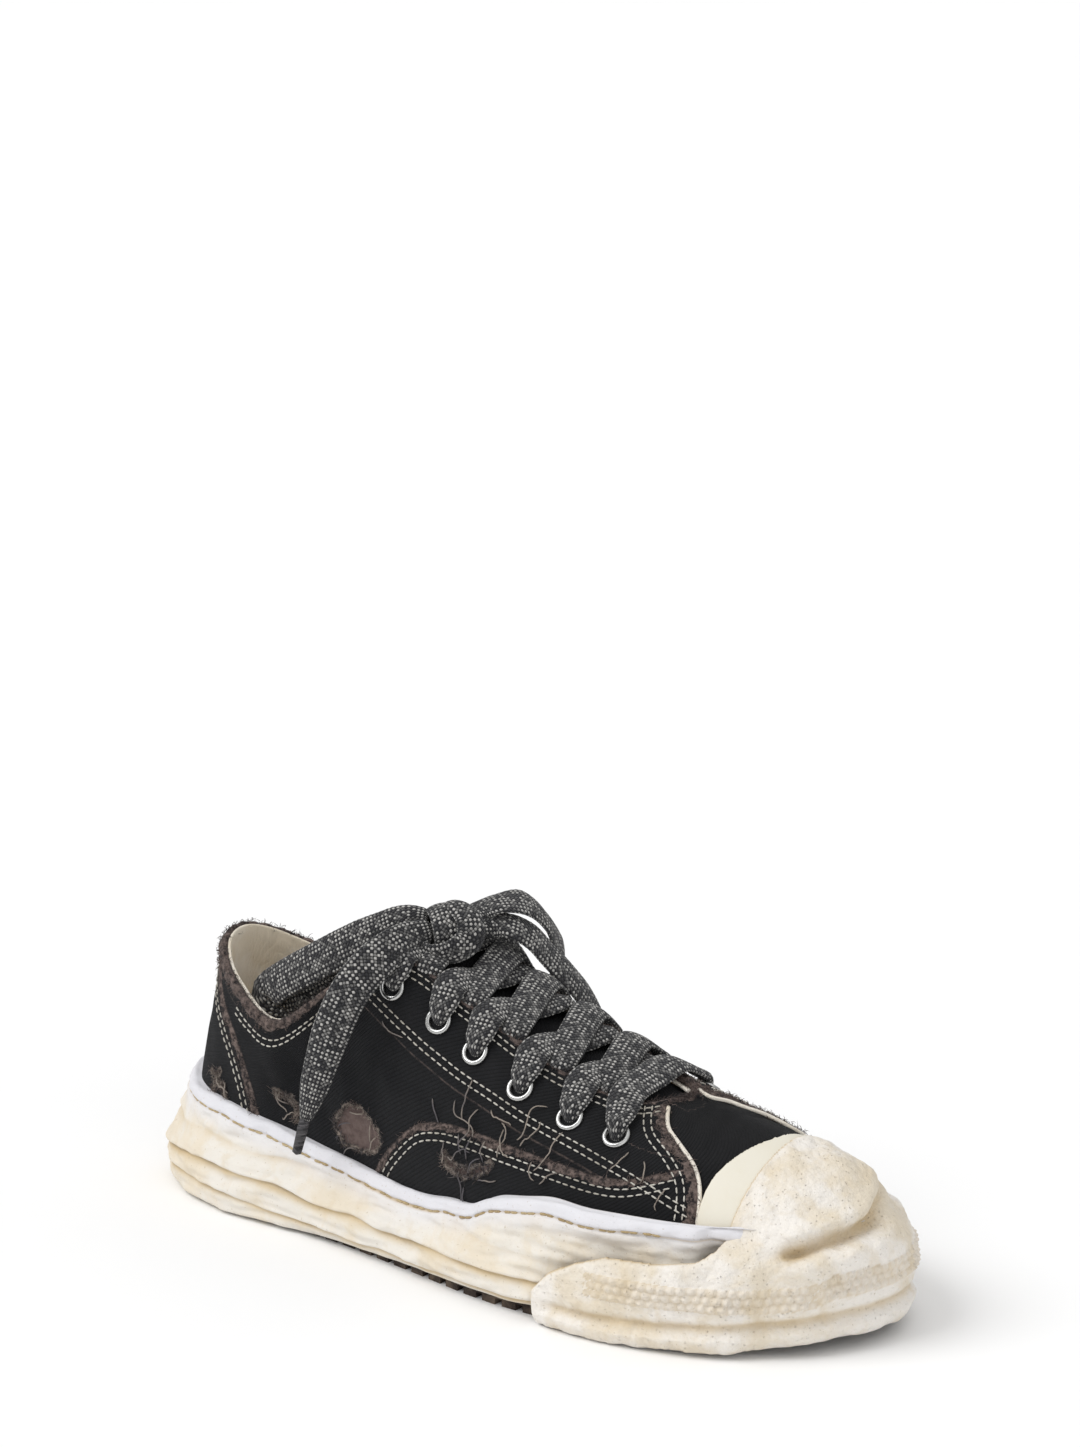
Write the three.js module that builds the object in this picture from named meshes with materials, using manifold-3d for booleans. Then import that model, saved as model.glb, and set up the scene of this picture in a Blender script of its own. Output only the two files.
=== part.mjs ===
// A worn right canvas sneaker with a thick hand-shaped sole, laced and tied in a loose bow.
// Millimetres. +X points to the toe, +Y to the inner side of the foot, +Z up.
import * as THREE from "three";
import Module from "manifold-3d";

const wasm = await Module();
wasm.setup();
const { Manifold, CrossSection } = wasm;

// ---- Driving sizes -------------------------------------------------------------------------
const GAP = 0.3; // air between pieces that meet
const WALL = 2.2; // canvas and lining together
const INSET = 9; // canvas foot, inside the sole's plan outline
const FOOT = 20; // height of the canvas foot and of the sole's slab
const CAP = 2; // rubber toe cap
const TREAD = 5.4; // depth of the outsole
const SPRING_START = 66; // the sole leaves the floor in front of this
const SPRING = 5.5; // rise of the sole's edge at the toe tip
const INSOLE = 3.6;
const TONGUE = 2.6;
const LACE_WIDTH = 11.5; // of the plain solid; the woven band is drawn up to 14 across
const LACE = 1.8;
const EYELET_X = [-37, -17.5, -1, 20, 41, 58]; // throat edge beside each eyelet, from the top
const EYELET_EDGE = [11, 12, 13, 14, 15, 16]; // each eyelet centre from the throat edge
const EYELET_RADIUS = 5.5;
const BORE_RADIUS = 2.7;
const AROUND = 66; // steps around the shoe
const UP = 6; // steps up the upper
const CENTRING = [0.5, 2]; // puts the middle of the sole at the origin

// One row for each rib, from the toe tip along the outer side, round the heel and back.
// sole x, y | opening x, y, z | rise, flare: lower curve | back, drop: upper curve |
// lip height, bulge of the sole wall, hem height of the wall, outsole edge from the outline
const RIBS = [
  [152, 8, 73, 1, 70.5, 28, 2, 42, 5, 36, -4, 5, -8],
  [140, -24, 73, -2, 70.5, 27, 2, 36, 6, 38, -4, 5, -8],
  [109, -48, 71, -6, 71, 25, 3, 25, 8, 42, -4, 5, -8],
  [70, -57, 58, -15, 70, 24, 3, 20, 11, 43, -3, 5, -7],
  [28, -55, 26, -17, 77.5, 26, 2, 18, 14, 39, 2.5, 4.6, -2],
  [-12, -49, -9, -16, 92, 28, 2, 14, 18, 29, 2.5, 3.6, -2],
  [-50, -44, -38, -19, 105, 28, 2, 10, 24, 32, 2.5, 2.6, -3],
  [-80, -42, -60, -29, 93, 22, 2, 3, 22, 36, 3, 1.6, -4],
  [-106, -40, -86, -33, 74.5, 16, 2, 1, 18, 39, 4, 1, -5],
  [-131, -31, -112, -25, 83, 20, 2, 1, 20, 39, 5, 1, -5],
  [-147, -16, -127, -13, 91, 22, 3, 1, 22, 40, 5, 1, -5],
  [-152, 1, -131, 0, 94, 24, 3, 1, 22, 41, 5, 1, -5],
  [-147, 17, -127, 13, 91, 22, 3, 1, 22, 40, 5, 1, -5],
  [-131, 30, -112, 25, 83, 20, 2, 1, 20, 39, 4.5, 1, -5],
  [-106, 36, -86, 33, 74.5, 16, 2, 1, 18, 38, 4, 1, -5],
  [-80, 36, -60, 29, 93, 22, 1, 3, 22, 36, 3, 1.6, -4],
  [-48, 34, -38, 21, 107, 28, 0, 8, 24, 33, 2.5, 2.6, -3],
  [-10, 35, -9, 18, 94, 28, 0, 11, 18, 31, 2.5, 3.6, -2],
  [30, 43, 26, 16, 82, 28, 1, 15, 14, 38, 2.5, 4.6, -2],
  [70, 53, 58, 12, 73, 26, 3, 18, 10, 42, -3, 5, -7],
  [108, 50, 71, 8, 71, 26, 3, 25, 8, 40, -4, 5, -8],
  [137, 34, 73, 4, 70.5, 27, 2, 34, 6, 38, -4, 5, -8],
];
const SOLE_X = 0;
const SOLE_Y = 1;
const OPEN_X = 2;
const OPEN_Y = 3;
const OPEN_Z = 4;
const RISE = 5;
const FLARE = 6;
const BACK = 7;
const DROP = 8;
const LIP = 9;
const BULGE = 10;
const HEM = 11;
const TREAD_EDGE = 12;

// ---- The shoe's own surface ----------------------------------------------------------------
// A smooth closed curve through one column of the ribs.
function along(column, u) {
  const count = RIBS.length;
  const whole = Math.floor(u);
  const t = u - whole;
  const at = (step) => RIBS[(((whole + step) % count) + count) % count][column];
  const [a, b, c, d] = [at(-1), at(0), at(1), at(2)];
  const linear = (c - a) * t;
  const square = (2 * a - 5 * b + 4 * c - d) * t * t;
  const cubic = (3 * b - a - 3 * c + d) * t * t * t;
  return 0.5 * (2 * b + linear + square + cubic);
}

function outward(u) {
  const step = 1e-3;
  const dx = along(SOLE_X, u + step) - along(SOLE_X, u - step);
  const dy = along(SOLE_Y, u + step) - along(SOLE_Y, u - step);
  return new THREE.Vector3(-dy, dx, 0).normalize();
}

function solePoint(u, offset, z) {
  const point = new THREE.Vector3(along(SOLE_X, u), along(SOLE_Y, u), z);
  return point.addScaledVector(outward(u), offset);
}

function spring(x) {
  const ahead = Math.max(0, x - SPRING_START) / (152 - SPRING_START);
  return SPRING * ahead ** 1.7;
}

function springPoint(u, offset, z) {
  const point = solePoint(u, offset, z);
  point.z += spring(point.x);
  return point;
}

function rawUpper(u, v) {
  const foot = solePoint(u, -INSET, FOOT);
  foot.z += 0.6 * spring(foot.x);
  const edge = new THREE.Vector3(along(OPEN_X, u), along(OPEN_Y, u), along(OPEN_Z, u));
  const inward = new THREE.Vector3(foot.x - edge.x, foot.y - edge.y, 0).normalize();
  const low = foot.clone().addScaledVector(outward(u), along(FLARE, u));
  low.z += along(RISE, u);
  const high = edge.clone().addScaledVector(inward, along(BACK, u));
  high.z -= along(DROP, u);
  return new THREE.CubicBezierCurve3(foot, low, high, edge).getPoint(v);
}

function upperNormal(u, v) {
  const step = 0.01;
  const top = Math.min(v + step, 1);
  const across = rawUpper(u + step, v).sub(rawUpper(u - step, v));
  const upward = rawUpper(u, top).sub(rawUpper(u, top - 2 * step));
  return upward.cross(across).normalize();
}

function upperPoint(u, v, offset = 0) {
  return rawUpper(u, v).addScaledVector(upperNormal(u, v), offset);
}

// The v at which a rib reaches a height.
function heightOnRib(u, z) {
  let low = 0;
  let high = 0.9;
  for (let i = 0; i < 20; i++) {
    const middle = (low + high) / 2;
    if (rawUpper(u, middle).z < z) low = middle;
    else high = middle;
  }
  return low;
}

// ---- Solids --------------------------------------------------------------------------------
function signedVolume(points, faces) {
  let sum = 0;
  for (const [a, b, c] of faces) {
    sum += points[a].dot(new THREE.Vector3().crossVectors(points[b], points[c]));
  }
  return sum / 6;
}

function solid(points, faces) {
  const outside = signedVolume(points, faces) > 0;
  const turned = outside ? faces : faces.map(([a, b, c]) => [a, c, b]);
  const mesh = new wasm.Mesh({
    numProp: 3,
    vertProperties: Float32Array.from(points.flatMap((p) => [p.x, p.y, p.z])),
    triVerts: Uint32Array.from(turned.flat()),
  });
  return new Manifold(mesh);
}

function planArea(loop) {
  return THREE.ShapeUtils.area(loop.map((p) => new THREE.Vector2(p.x, p.y)));
}

function capFaces(ring, start, flip) {
  const loop = ring.map((p) => new THREE.Vector2(p.x, p.y));
  const way = Math.sign(planArea(ring));
  return THREE.ShapeUtils.triangulateShape(loop, []).map((face) => {
    const same = Math.sign(planArea(face.map((i) => ring[i]))) === way;
    const [a, b, c] = face.map((i) => i + start);
    return same === flip ? [a, c, b] : [a, b, c];
  });
}

// A solid through rings of equal length: closed on itself, or capped at both ends.
function ringSolid(rings, looped = false) {
  const count = rings[0].length;
  const faces = [];
  const steps = looped ? rings.length : rings.length - 1;
  for (let r = 0; r < steps; r++) {
    const a = r * count;
    const b = ((r + 1) % rings.length) * count;
    for (let i = 0; i < count; i++) {
      const j = (i + 1) % count;
      faces.push([a + i, a + j, b + j], [a + i, b + j, b + i]);
    }
  }
  if (!looped) {
    const last = (rings.length - 1) * count;
    faces.push(...capFaces(rings[0], 0, true), ...capFaces(rings.at(-1), last, false));
  }
  return solid(rings.flat(), faces);
}

function ring(place) {
  return Array.from({ length: AROUND }, (_, i) => place((i * RIBS.length) / AROUND));
}

function steps(count) {
  return Array.from({ length: count + 1 }, (_, i) => i / count);
}

// The space filled by the upper, grown by an offset.
function upperForm(offset) {
  const grow = typeof offset === "function" ? offset : () => offset;
  return ringSolid(steps(UP).map((v) => ring((u) => upperPoint(u, v, grow(rawUpper(u, v).x)))));
}

function upperShell(outer, inner) {
  const outside = steps(UP).map((v) => ring((u) => upperPoint(u, v, outer)));
  const inside = steps(UP).map((v) => ring((u) => upperPoint(u, v, -inner)));
  return ringSolid([...outside, ...inside.reverse()], true);
}

// A sheet of given thickness, hung under a grid of points.
function sheetSolid(grid, thickness) {
  const rows = grid.length;
  const columns = grid[0].length;
  const under = grid.map((row, i) => row.map((point, j) => {
    const across = grid[i][Math.min(j + 1, columns - 1)].clone().sub(grid[i][Math.max(j - 1, 0)]);
    const ahead = grid[Math.min(i + 1, rows - 1)][j].clone().sub(grid[Math.max(i - 1, 0)][j]);
    const normal = across.cross(ahead).normalize();
    if (normal.z > 0) normal.negate();
    return point.clone().addScaledVector(normal, thickness);
  }));
  const rings = grid.map((row, i) => [...row, ...under[i].toReversed()]);
  const count = 2 * columns;
  const faces = [];
  for (let r = 0; r < rows - 1; r++) {
    for (let i = 0; i < count; i++) {
      const j = (i + 1) % count;
      const a = r * count;
      faces.push([a + i, a + j, a + count + j], [a + i, a + count + j, a + count + i]);
    }
  }
  for (let i = 0; i < columns - 1; i++) {
    const j = count - 1 - i;
    const end = (rows - 1) * count;
    faces.push([i, j, j - 1], [i, j - 1, i + 1]);
    faces.push([end + i, end + j - 1, end + j], [end + i, end + i + 1, end + j - 1]);
  }
  return solid(rings.flat(), faces);
}

// A flat band along a path; each face is the way that its broad side looks at that point.
function band(points, faces, tip = LACE_WIDTH, count = points.length + 4) {
  const path = new THREE.CatmullRomCurve3(points);
  const looks = new THREE.CatmullRomCurve3(faces);
  const width = LACE_WIDTH;
  const grid = steps(count).map((t) => {
    const centre = path.getPoint(t);
    const ahead = path.getTangent(t);
    const side = new THREE.Vector3().crossVectors(ahead, looks.getPoint(t)).normalize();
    const up = new THREE.Vector3().crossVectors(side, ahead).normalize();
    const half = (t > 0.8 ? THREE.MathUtils.lerp(width, tip, (t - 0.8) / 0.2) : width) / 2;
    const corner = (a, b) => centre.clone().addScaledVector(side, a).addScaledVector(up, b);
    const thick = LACE / 2;
    return [corner(-half, -thick), corner(half, -thick), corner(half, thick), corner(-half, thick)];
  });
  const sides = [];
  for (let r = 0; r < grid.length - 1; r++) {
    for (let i = 0; i < 4; i++) {
      const j = (i + 1) % 4;
      sides.push([r * 4 + i, r * 4 + j, r * 4 + 4 + j], [r * 4 + i, r * 4 + 4 + j, r * 4 + 4 + i]);
    }
  }
  const end = (grid.length - 1) * 4;
  sides.push([0, 2, 1], [0, 3, 2], [end, end + 1, end + 2], [end, end + 2, end + 3]);
  return solid(grid.flat(), sides);
}

function prism(outline, height, low) {
  return new CrossSection([outline], "EvenOdd").extrude(height).translate([0, 0, low]);
}

// An outline drawn in the side view, x and z, as wide as the shoe.
function sidePrism(outline) {
  const flat = outline.map(([x, z]) => [x, -z]);
  return new CrossSection([flat], "EvenOdd").extrude(240).translate([0, 0, -120]).rotate([-90, 0, 0]);
}

function largest(shape) {
  const bodies = shape.decompose();
  return bodies.reduce((best, body) => (body.volume() > best.volume() ? body : best));
}

function geometryOf(shape, tolerance = 0.05) {
  const mesh = largest(shape.simplify(tolerance)).getMesh();
  const geometry = new THREE.BufferGeometry();
  geometry.setAttribute("position", new THREE.BufferAttribute(mesh.vertProperties, 3));
  geometry.setIndex(new THREE.BufferAttribute(mesh.triVerts, 1));
  geometry.computeVertexNormals();
  return geometry;
}

// ---- Sole ----------------------------------------------------------------------------------
// The sole wall's section at one place around the shoe: offset from the outline, height.
function wallSection(u, grow) {
  const lip = along(LIP, u);
  const hem = along(HEM, u);
  const bulge = along(BULGE, u);
  return [
    [bulge - 2.5, hem],
    [bulge - 0.3, hem + 3.5],
    [bulge, 12],
    [bulge - 0.8, 17],
    [Math.min(bulge - 1.5, -2), lip - 9],
    [-3.8, lip - 3],
    [-5, lip - 0.5],
    [-6.8, lip],
  ].map(([offset, z]) => solePoint(u, offset + grow, z + grow));
}

function wallRings(grow) {
  const sections = ring((u) => wallSection(u, grow));
  return sections[0].map((_, level) => sections.map((section) => section[level]));
}

// The sole wall filled up to its lip, from the rings under it.
function soleBody(below, grow) {
  const inside = ring((u) => {
    const lip = along(LIP, u) + grow;
    return upperPoint(u, heightOnRib(u, lip), -1.2).setZ(lip);
  });
  return ringSolid([...below, ...wallRings(grow), inside]);
}

// The same with no hollow under it, to cut other pieces with.
function soleForm(grow) {
  const skirt = ring((u) => solePoint(u, along(BULGE, u) - 2.5 + grow, -4));
  return soleBody([skirt], grow);
}

function midsole() {
  const roof = ring((u) => springPoint(u, along(TREAD_EDGE, u) + GAP, TREAD + GAP));
  const hem = ring((u) => springPoint(u, along(TREAD_EDGE, u) + GAP, along(HEM, u)));
  const cup = upperForm(GAP);
  return soleBody([roof, hem], 0).subtract(cup.add(cup.translate([0, 0, -GAP])));
}

const LUG_PITCH = 9;
const LUG_GROOVE = 3;
const GROOVE_DEPTH = 2.4;

function outsole() {
  const edge = ring((u) => solePoint(u, along(TREAD_EDGE, u), 0)).map((p) => [p.x, p.y]);
  const bed = new CrossSection([edge], "EvenOdd");
  const grooves = [];
  for (let x = -141; x < 145; x += LUG_PITCH) {
    const heel = x > -118 && x < -72;
    const ball = x > 20 && x < 64;
    const groove = Manifold.cube([LUG_GROOVE, 130, GROOVE_DEPTH * 2], true);
    if (heel || ball) {
      const half = Manifold.cube([LUG_GROOVE, 48, GROOVE_DEPTH * 2], true);
      grooves.push(half.translate([x, 44, 0]), half.translate([x, -44, 0]));
    } else {
      grooves.push(groove.translate([x, 0, 0]));
    }
  }
  const lugs = bed.extrude(TREAD).subtract(Manifold.union(grooves));
  return lugs.warp((vertex) => {
    vertex[2] += spring(vertex[0]);
  });
}

function insole() {
  const low = ring((u) => springPoint(u, -INSET - WALL - 0.9, FOOT + GAP));
  const high = ring((u) => springPoint(u, -INSET - WALL - 1.2, FOOT + GAP + INSOLE));
  const flat = (loop) => loop.map((p) => p.setZ(p.z - 0.4 * spring(p.x)));
  return ringSolid([flat(low), flat(high)]);
}

// ---- Toe cap and toe bumper ----------------------------------------------------------------
// The cap's back edge in plan, and the bumper's edge in the side view.
const CAP_EDGE = [
  [104, -62], [103, -37], [101, -29], [104, -15], [109, -1], [110.5, 8], [110.5, 22], [109, 62],
];
const BUMPER_EDGE = [
  [47.5, -3], [47.5, 7], [49.5, 14], [56.5, 21.5], [67, 27.5], [77, 31.5], [95, 31.5], [110, 32],
  [113, 36], [113.5, 90],
];

function toeCap() {
  const shell = upperForm(GAP + CAP).subtract(upperForm(GAP));
  const region = prism([...CAP_EDGE, [190, 62], [190, -62]], 90, 10);
  return shell.intersect(region).subtract(soleForm(GAP));
}

function toeBumper() {
  const wall = [[0, 0.4], [3, 3.5], [3.8, 8], [4, 16], [3.2, 24], [0.5, 30], [-3, 34]];
  const low = ringSolid(wall.map(([offset, z]) => ring((u) => springPoint(u, offset, z))));
  const swell = (x) => GAP + CAP + 0.8 + 5 * THREE.MathUtils.smoothstep(x, 108, 132);
  const dome = upperForm(swell);
  const region = sidePrism([...BUMPER_EDGE, [200, 90], [200, -3]]);
  const inside = upperForm(2 * GAP + CAP).add(soleForm(GAP)).add(outsoleForm());
  return low.add(dome).intersect(region).subtract(inside);
}

function outsoleForm() {
  return ringSolid([-4, TREAD + 2].map((z) => ring((u) => springPoint(u, along(TREAD_EDGE, u) + GAP, z))));
}

// ---- Eyelets -------------------------------------------------------------------------------
function eyeletPlace(x, reach, inner) {
  let low = 2;
  let high = 6.4;
  for (let i = 0; i < 24; i++) {
    const middle = (low + high) / 2;
    const edge = along(OPEN_X, inner ? RIBS.length - middle : middle);
    if (edge > x) low = middle;
    else high = middle;
  }
  const u = inner ? RIBS.length - low : low;
  let v = 1;
  while (rawUpper(u, v).distanceTo(rawUpper(u, 1)) < reach) v -= 0.004;
  return { u, v, centre: rawUpper(u, v), normal: upperNormal(u, v), edge: rawUpper(u, 1) };
}

const EYELETS = [false, true].map((inner) => {
  return EYELET_X.map((x, i) => eyeletPlace(x, EYELET_EDGE[i], inner));
});

function turned(normal) {
  return new THREE.Quaternion().setFromUnitVectors(new THREE.Vector3(0, 0, 1), normal);
}

function rod(radius, length, place) {
  const matrix = new THREE.Matrix4().compose(place.centre, turned(place.normal), new THREE.Vector3(1, 1, 1));
  return Manifold.cylinder(length, radius, radius, 14, true).transform(matrix.elements);
}

// A rolled flange outside and a barrel through the wall.
function eyeletGeometry() {
  const top = 1.8;
  const barrel = BORE_RADIUS + 0.5;
  const low = -(WALL + 0.3);
  const profile = [
    [BORE_RADIUS, low], [barrel, low], [barrel, 0.8], [EYELET_RADIUS, 0.8], [EYELET_RADIUS - 0.7, top],
    [BORE_RADIUS, top - 0.5], [BORE_RADIUS, low],
  ];
  const lathe = new THREE.LatheGeometry(profile.map(([r, y]) => new THREE.Vector2(r, y)), 12);
  return lathe.rotateX(Math.PI / 2);
}

function upper() {
  const holes = EYELETS.flat().map((place) => rod(BORE_RADIUS + 0.9, 14, place));
  return upperShell(0, WALL).subtract(Manifold.union(holes));
}

// ---- Tongue --------------------------------------------------------------------------------
function tongueRow(u) {
  const under = -(WALL + 1.5);
  const inner = RIBS.length - u;
  const crown = 3 * THREE.MathUtils.smoothstep(6 - u, 0.6, 2.5);
  const outerSide = [0.8, 0.9, 0.99].map((v) => upperPoint(u, v, under));
  const innerSide = [0.99, 0.9, 0.8].map((v) => upperPoint(inner, v, under));
  const bridge = [0.25, 0.5, 0.75].map((t) => {
    const point = outerSide[2].clone().lerp(innerSide[0], t);
    point.z += crown * Math.sin(Math.PI * t);
    return point;
  });
  return [...outerSide, ...bridge, ...innerSide];
}

function tongueRoot(reach) {
  const under = -(WALL + 1.5);
  const places = [[2.6, 0.72], [2.2, 0.8], [1.7, 0.85], [0.9, 0.87], [0, 0.87]];
  const right = places.map(([u, v]) => upperPoint(u, v - reach, under));
  const left = places.slice(0, 4).map(([u, v]) => upperPoint(RIBS.length - u, v - reach, under));
  return [...right, ...left.toReversed()];
}

function tongue() {
  const rows = [6, 5.6, 5.2, 4.8, 4.4, 4, 3.6, 3.2, 2.9].map(tongueRow);
  const top = [13, 9, 4].map((reach) => rows[0].map((point, i) => {
    const across = Math.abs(i - 4) / 4;
    const rounded = reach * (1 - 0.35 * across ** 3);
    return point.clone().add(new THREE.Vector3(-0.96 * rounded, 0, 0.2 * rounded));
  }));
  const grid = [...top, ...rows, tongueRoot(0), tongueRoot(0.06)];
  return sheetSolid(grid, TONGUE).subtract(upperShell(GAP, WALL + GAP));
}

// ---- Laces ---------------------------------------------------------------------------------
const LACE_FACE = new THREE.Vector3(0.38, 0, 0.92);

// A band from one eyelet over the throat to another.
function over(from, to, lift) {
  const start = from.centre.clone().addScaledVector(from.normal, 3.4);
  const end = to.centre.clone().addScaledVector(to.normal, 3.4);
  const first = from.edge.clone().lerp(to.edge, 0.08);
  const last = to.edge.clone().lerp(from.edge, 0.08);
  const middle = from.edge.clone().lerp(to.edge, 0.5);
  first.z += 3.4 + lift / 2;
  last.z += 3.4 + lift / 2;
  middle.z += 4.5 + lift;
  const lean = (normal) => normal.clone().lerp(LACE_FACE, 0.5).normalize();
  const faces = [from.normal, lean(from.normal), LACE_FACE, lean(to.normal), to.normal];
  return band([start, first, middle, last, end], faces, LACE_WIDTH, 6);
}

function laceCrossings() {
  const [outer, inner] = EYELETS;
  const bands = [over(outer[5], inner[5], 0)];
  for (let row = 0; row < 5; row++) {
    bands.push(over(outer[row], inner[row + 1], 0), over(inner[row], outer[row + 1], 1.6));
  }
  const flanges = EYELETS.flat().map((place) => rod(EYELET_RADIUS + GAP, 4.2, place));
  return clearOfShoe(Manifold.union(bands)).subtract(Manifold.union(flanges)).subtract(knot(GAP));
}

// Cuts away what would touch the upper or the tongue.
const UNDER_LACES = (() => {
  const shell = upperShell(0, WALL);
  const copies = [-GAP, 0, GAP].map((lift) => shell.translate([0, 0, lift]));
  const parts = [...copies, upperShell(GAP, WALL + GAP), tongue(), tongue().translate([0, 0, GAP])];
  return Manifold.union(parts);
})();

function clearOfShoe(shape) {
  return shape.subtract(UNDER_LACES);
}

// Routes of the bow, chosen by hand. Each starts at the knot.
const KNOT = new THREE.Vector3(-31, -1, 114);
const OUTER_LOOP = [
  [-45, -8, 115], [-53, -12, 110], [-66, -16, 103], [-80, -19, 94], [-94, -20, 85], [-102, -20, 78],
  [-98, -19, 75], [-86, -19, 80], [-72, -17, 88], [-57, -13, 97], [-46, -8, 105],
];
const OUTER_END = [
  [-37, -14, 112], [-39, -23, 110], [-42, -32, 105], [-46, -39, 96], [-52, -44, 82], [-55, -47, 67],
  [-57, -49, 55], [-59, -50, 47],
];
const INNER_LOOP = [
  [-27, 12, 117], [-23, 18, 119], [-18, 27, 118], [-15, 35, 110], [-15, 42, 97], [-18, 44, 85],
  [-22, 42, 78], [-26, 38, 84], [-29, 32, 95], [-31, 22, 105], [-32, 13, 109],
];
const INNER_END = [
  [-21, 12, 113], [-16, 16, 112], [-11, 21, 108], [-7, 26, 101], [-2, 31, 93], [1, 36, 85], [4, 40, 75],
  [6, 43, 64], [8, 45, 55],
];

function route(points) {
  return points.map((point) => new THREE.Vector3(...point));
}

function knot(grow) {
  const ball = Manifold.sphere(1, 16).scale([12 + grow, 10 + grow, 8.5 + grow]);
  return ball.rotate([0, 14, 0]).translate(KNOT.toArray());
}

const CROSSINGS = laceCrossings();

// A stretch of lace that leaves the knot.
function free(points, face, tip = LACE_WIDTH) {
  const lace = band(route(points), points.map(() => face), tip);
  const near = Manifold.union([knot(GAP), CROSSINGS, CROSSINGS.translate([0, 0, GAP])]);
  return clearOfShoe(lace).subtract(near).subtract(tongue().translate([-GAP, 0, 0]));
}

function aglet(points) {
  const [before, end] = route(points).slice(-2);
  const way = end.clone().sub(before).normalize();
  const geometry = new THREE.CylinderGeometry(1.4, 1.9, 13, 14);
  geometry.rotateX(Math.PI / 2);
  geometry.scale(1, 1, -1);
  const index = geometry.getIndex().array;
  for (let i = 0; i < index.length; i += 3) [index[i], index[i + 1]] = [index[i + 1], index[i]];
  geometry.applyQuaternion(turned(way));
  const centre = end.clone().addScaledVector(way, 6.5 + GAP);
  return geometry.translate(centre.x, centre.y, centre.z);
}

// ---- Assembly ------------------------------------------------------------------------------
const sneaker = new THREE.Group();
sneaker.position.set(...CENTRING, 0);

function add(name, geometry, color, roughness, metalness = 0) {
  const material = new THREE.MeshStandardMaterial({ color, roughness, metalness });
  const mesh = new THREE.Mesh(geometry, material);
  mesh.name = name;
  sneaker.add(mesh);
  return mesh;
}

const CLAY = 0xe9dfcc;
const CANVAS = 0x17181c;
const LACE_COLOR = 0x45464a;

add("outsole", geometryOf(outsole()), 0x3b322d, 0.9);
add("midsole", geometryOf(midsole()), CLAY, 0.75);
add("toe_bumper", geometryOf(toeBumper()), CLAY, 0.75);
add("toe_cap", geometryOf(toeCap()), 0xe6e2d0, 0.5);
add("upper", geometryOf(upper()), CANVAS, 0.95);
add("insole", geometryOf(insole()), 0xcdb88c, 0.9);
add("tongue", geometryOf(tongue()), CANVAS, 0.95);

["outer", "inner"].forEach((side, s) => {
  EYELETS[s].forEach((place, i) => {
    const eyelet = add(`eyelet_${side}_${i + 1}`, eyeletGeometry(), 0xd8d8d8, 0.25, 1);
    eyelet.position.copy(place.centre);
    eyelet.quaternion.copy(turned(place.normal));
  });
});

const away = new THREE.Vector3(-0.2, -0.85, 0.5);
const towards = new THREE.Vector3(0.2, 0.85, 0.5);
add("lace_crossings", geometryOf(CROSSINGS, 0.25), LACE_COLOR, 0.95);
add("lace_knot", geometryOf(clearOfShoe(knot(0))), LACE_COLOR, 0.95);
add("lace_loop_outer", geometryOf(free(OUTER_LOOP, away)), LACE_COLOR, 0.95);
add("lace_end_outer", geometryOf(free(OUTER_END, away, 4)), LACE_COLOR, 0.95);
add("lace_loop_inner", geometryOf(free(INNER_LOOP, towards)), LACE_COLOR, 0.95);
add("lace_end_inner", geometryOf(free(INNER_END, towards, 4)), LACE_COLOR, 0.95);
add("aglet_outer", aglet(OUTER_END), 0x26262a, 0.6);
add("aglet_inner", aglet(INNER_END), 0x26262a, 0.6);

export default sneaker;
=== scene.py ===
# %% [markdown]
# # A worn out canvas sneaker
# The shoe is a low canvas upper on a hand-moulded clay-like rubber sole, with a rubber toe cap,
# twelve eyelets and wide woven laces tied in a bow. The frame gives the true solids. This file
# draws their surfaces: folds in the sole, overlapping panels with frayed edges, stitches, laces.

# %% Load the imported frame
import math

import bpy
import numpy as np
from mathutils import Matrix, Vector
from mathutils.bvhtree import BVHTree


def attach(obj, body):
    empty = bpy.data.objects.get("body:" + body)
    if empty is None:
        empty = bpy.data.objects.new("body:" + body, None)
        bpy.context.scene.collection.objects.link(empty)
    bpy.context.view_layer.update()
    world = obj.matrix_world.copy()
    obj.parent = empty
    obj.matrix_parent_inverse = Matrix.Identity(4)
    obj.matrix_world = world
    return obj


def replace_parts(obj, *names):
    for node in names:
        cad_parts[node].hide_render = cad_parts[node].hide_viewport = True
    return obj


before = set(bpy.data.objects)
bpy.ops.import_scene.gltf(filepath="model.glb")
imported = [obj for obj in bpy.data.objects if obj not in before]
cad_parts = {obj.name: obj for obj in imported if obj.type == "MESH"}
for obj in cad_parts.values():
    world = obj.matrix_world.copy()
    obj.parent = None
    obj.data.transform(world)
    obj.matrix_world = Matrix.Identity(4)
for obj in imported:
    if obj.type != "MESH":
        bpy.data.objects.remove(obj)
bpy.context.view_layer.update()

MM = 0.001
CENTRING = np.array([0.5, 2.0, 0.0])  # the shoe's own axes, in millimetres, to the frame's


def metres(points):
    return (np.asarray(points, float) + CENTRING) * MM


print("nodes:", len(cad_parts))

# %% [markdown]
# ## Camera
# A product camera stands well back and looks down on the outer side from in front of the toe.
# A long lens keeps the shoe's proportions, and a lens shift sets it low in the frame.

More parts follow.
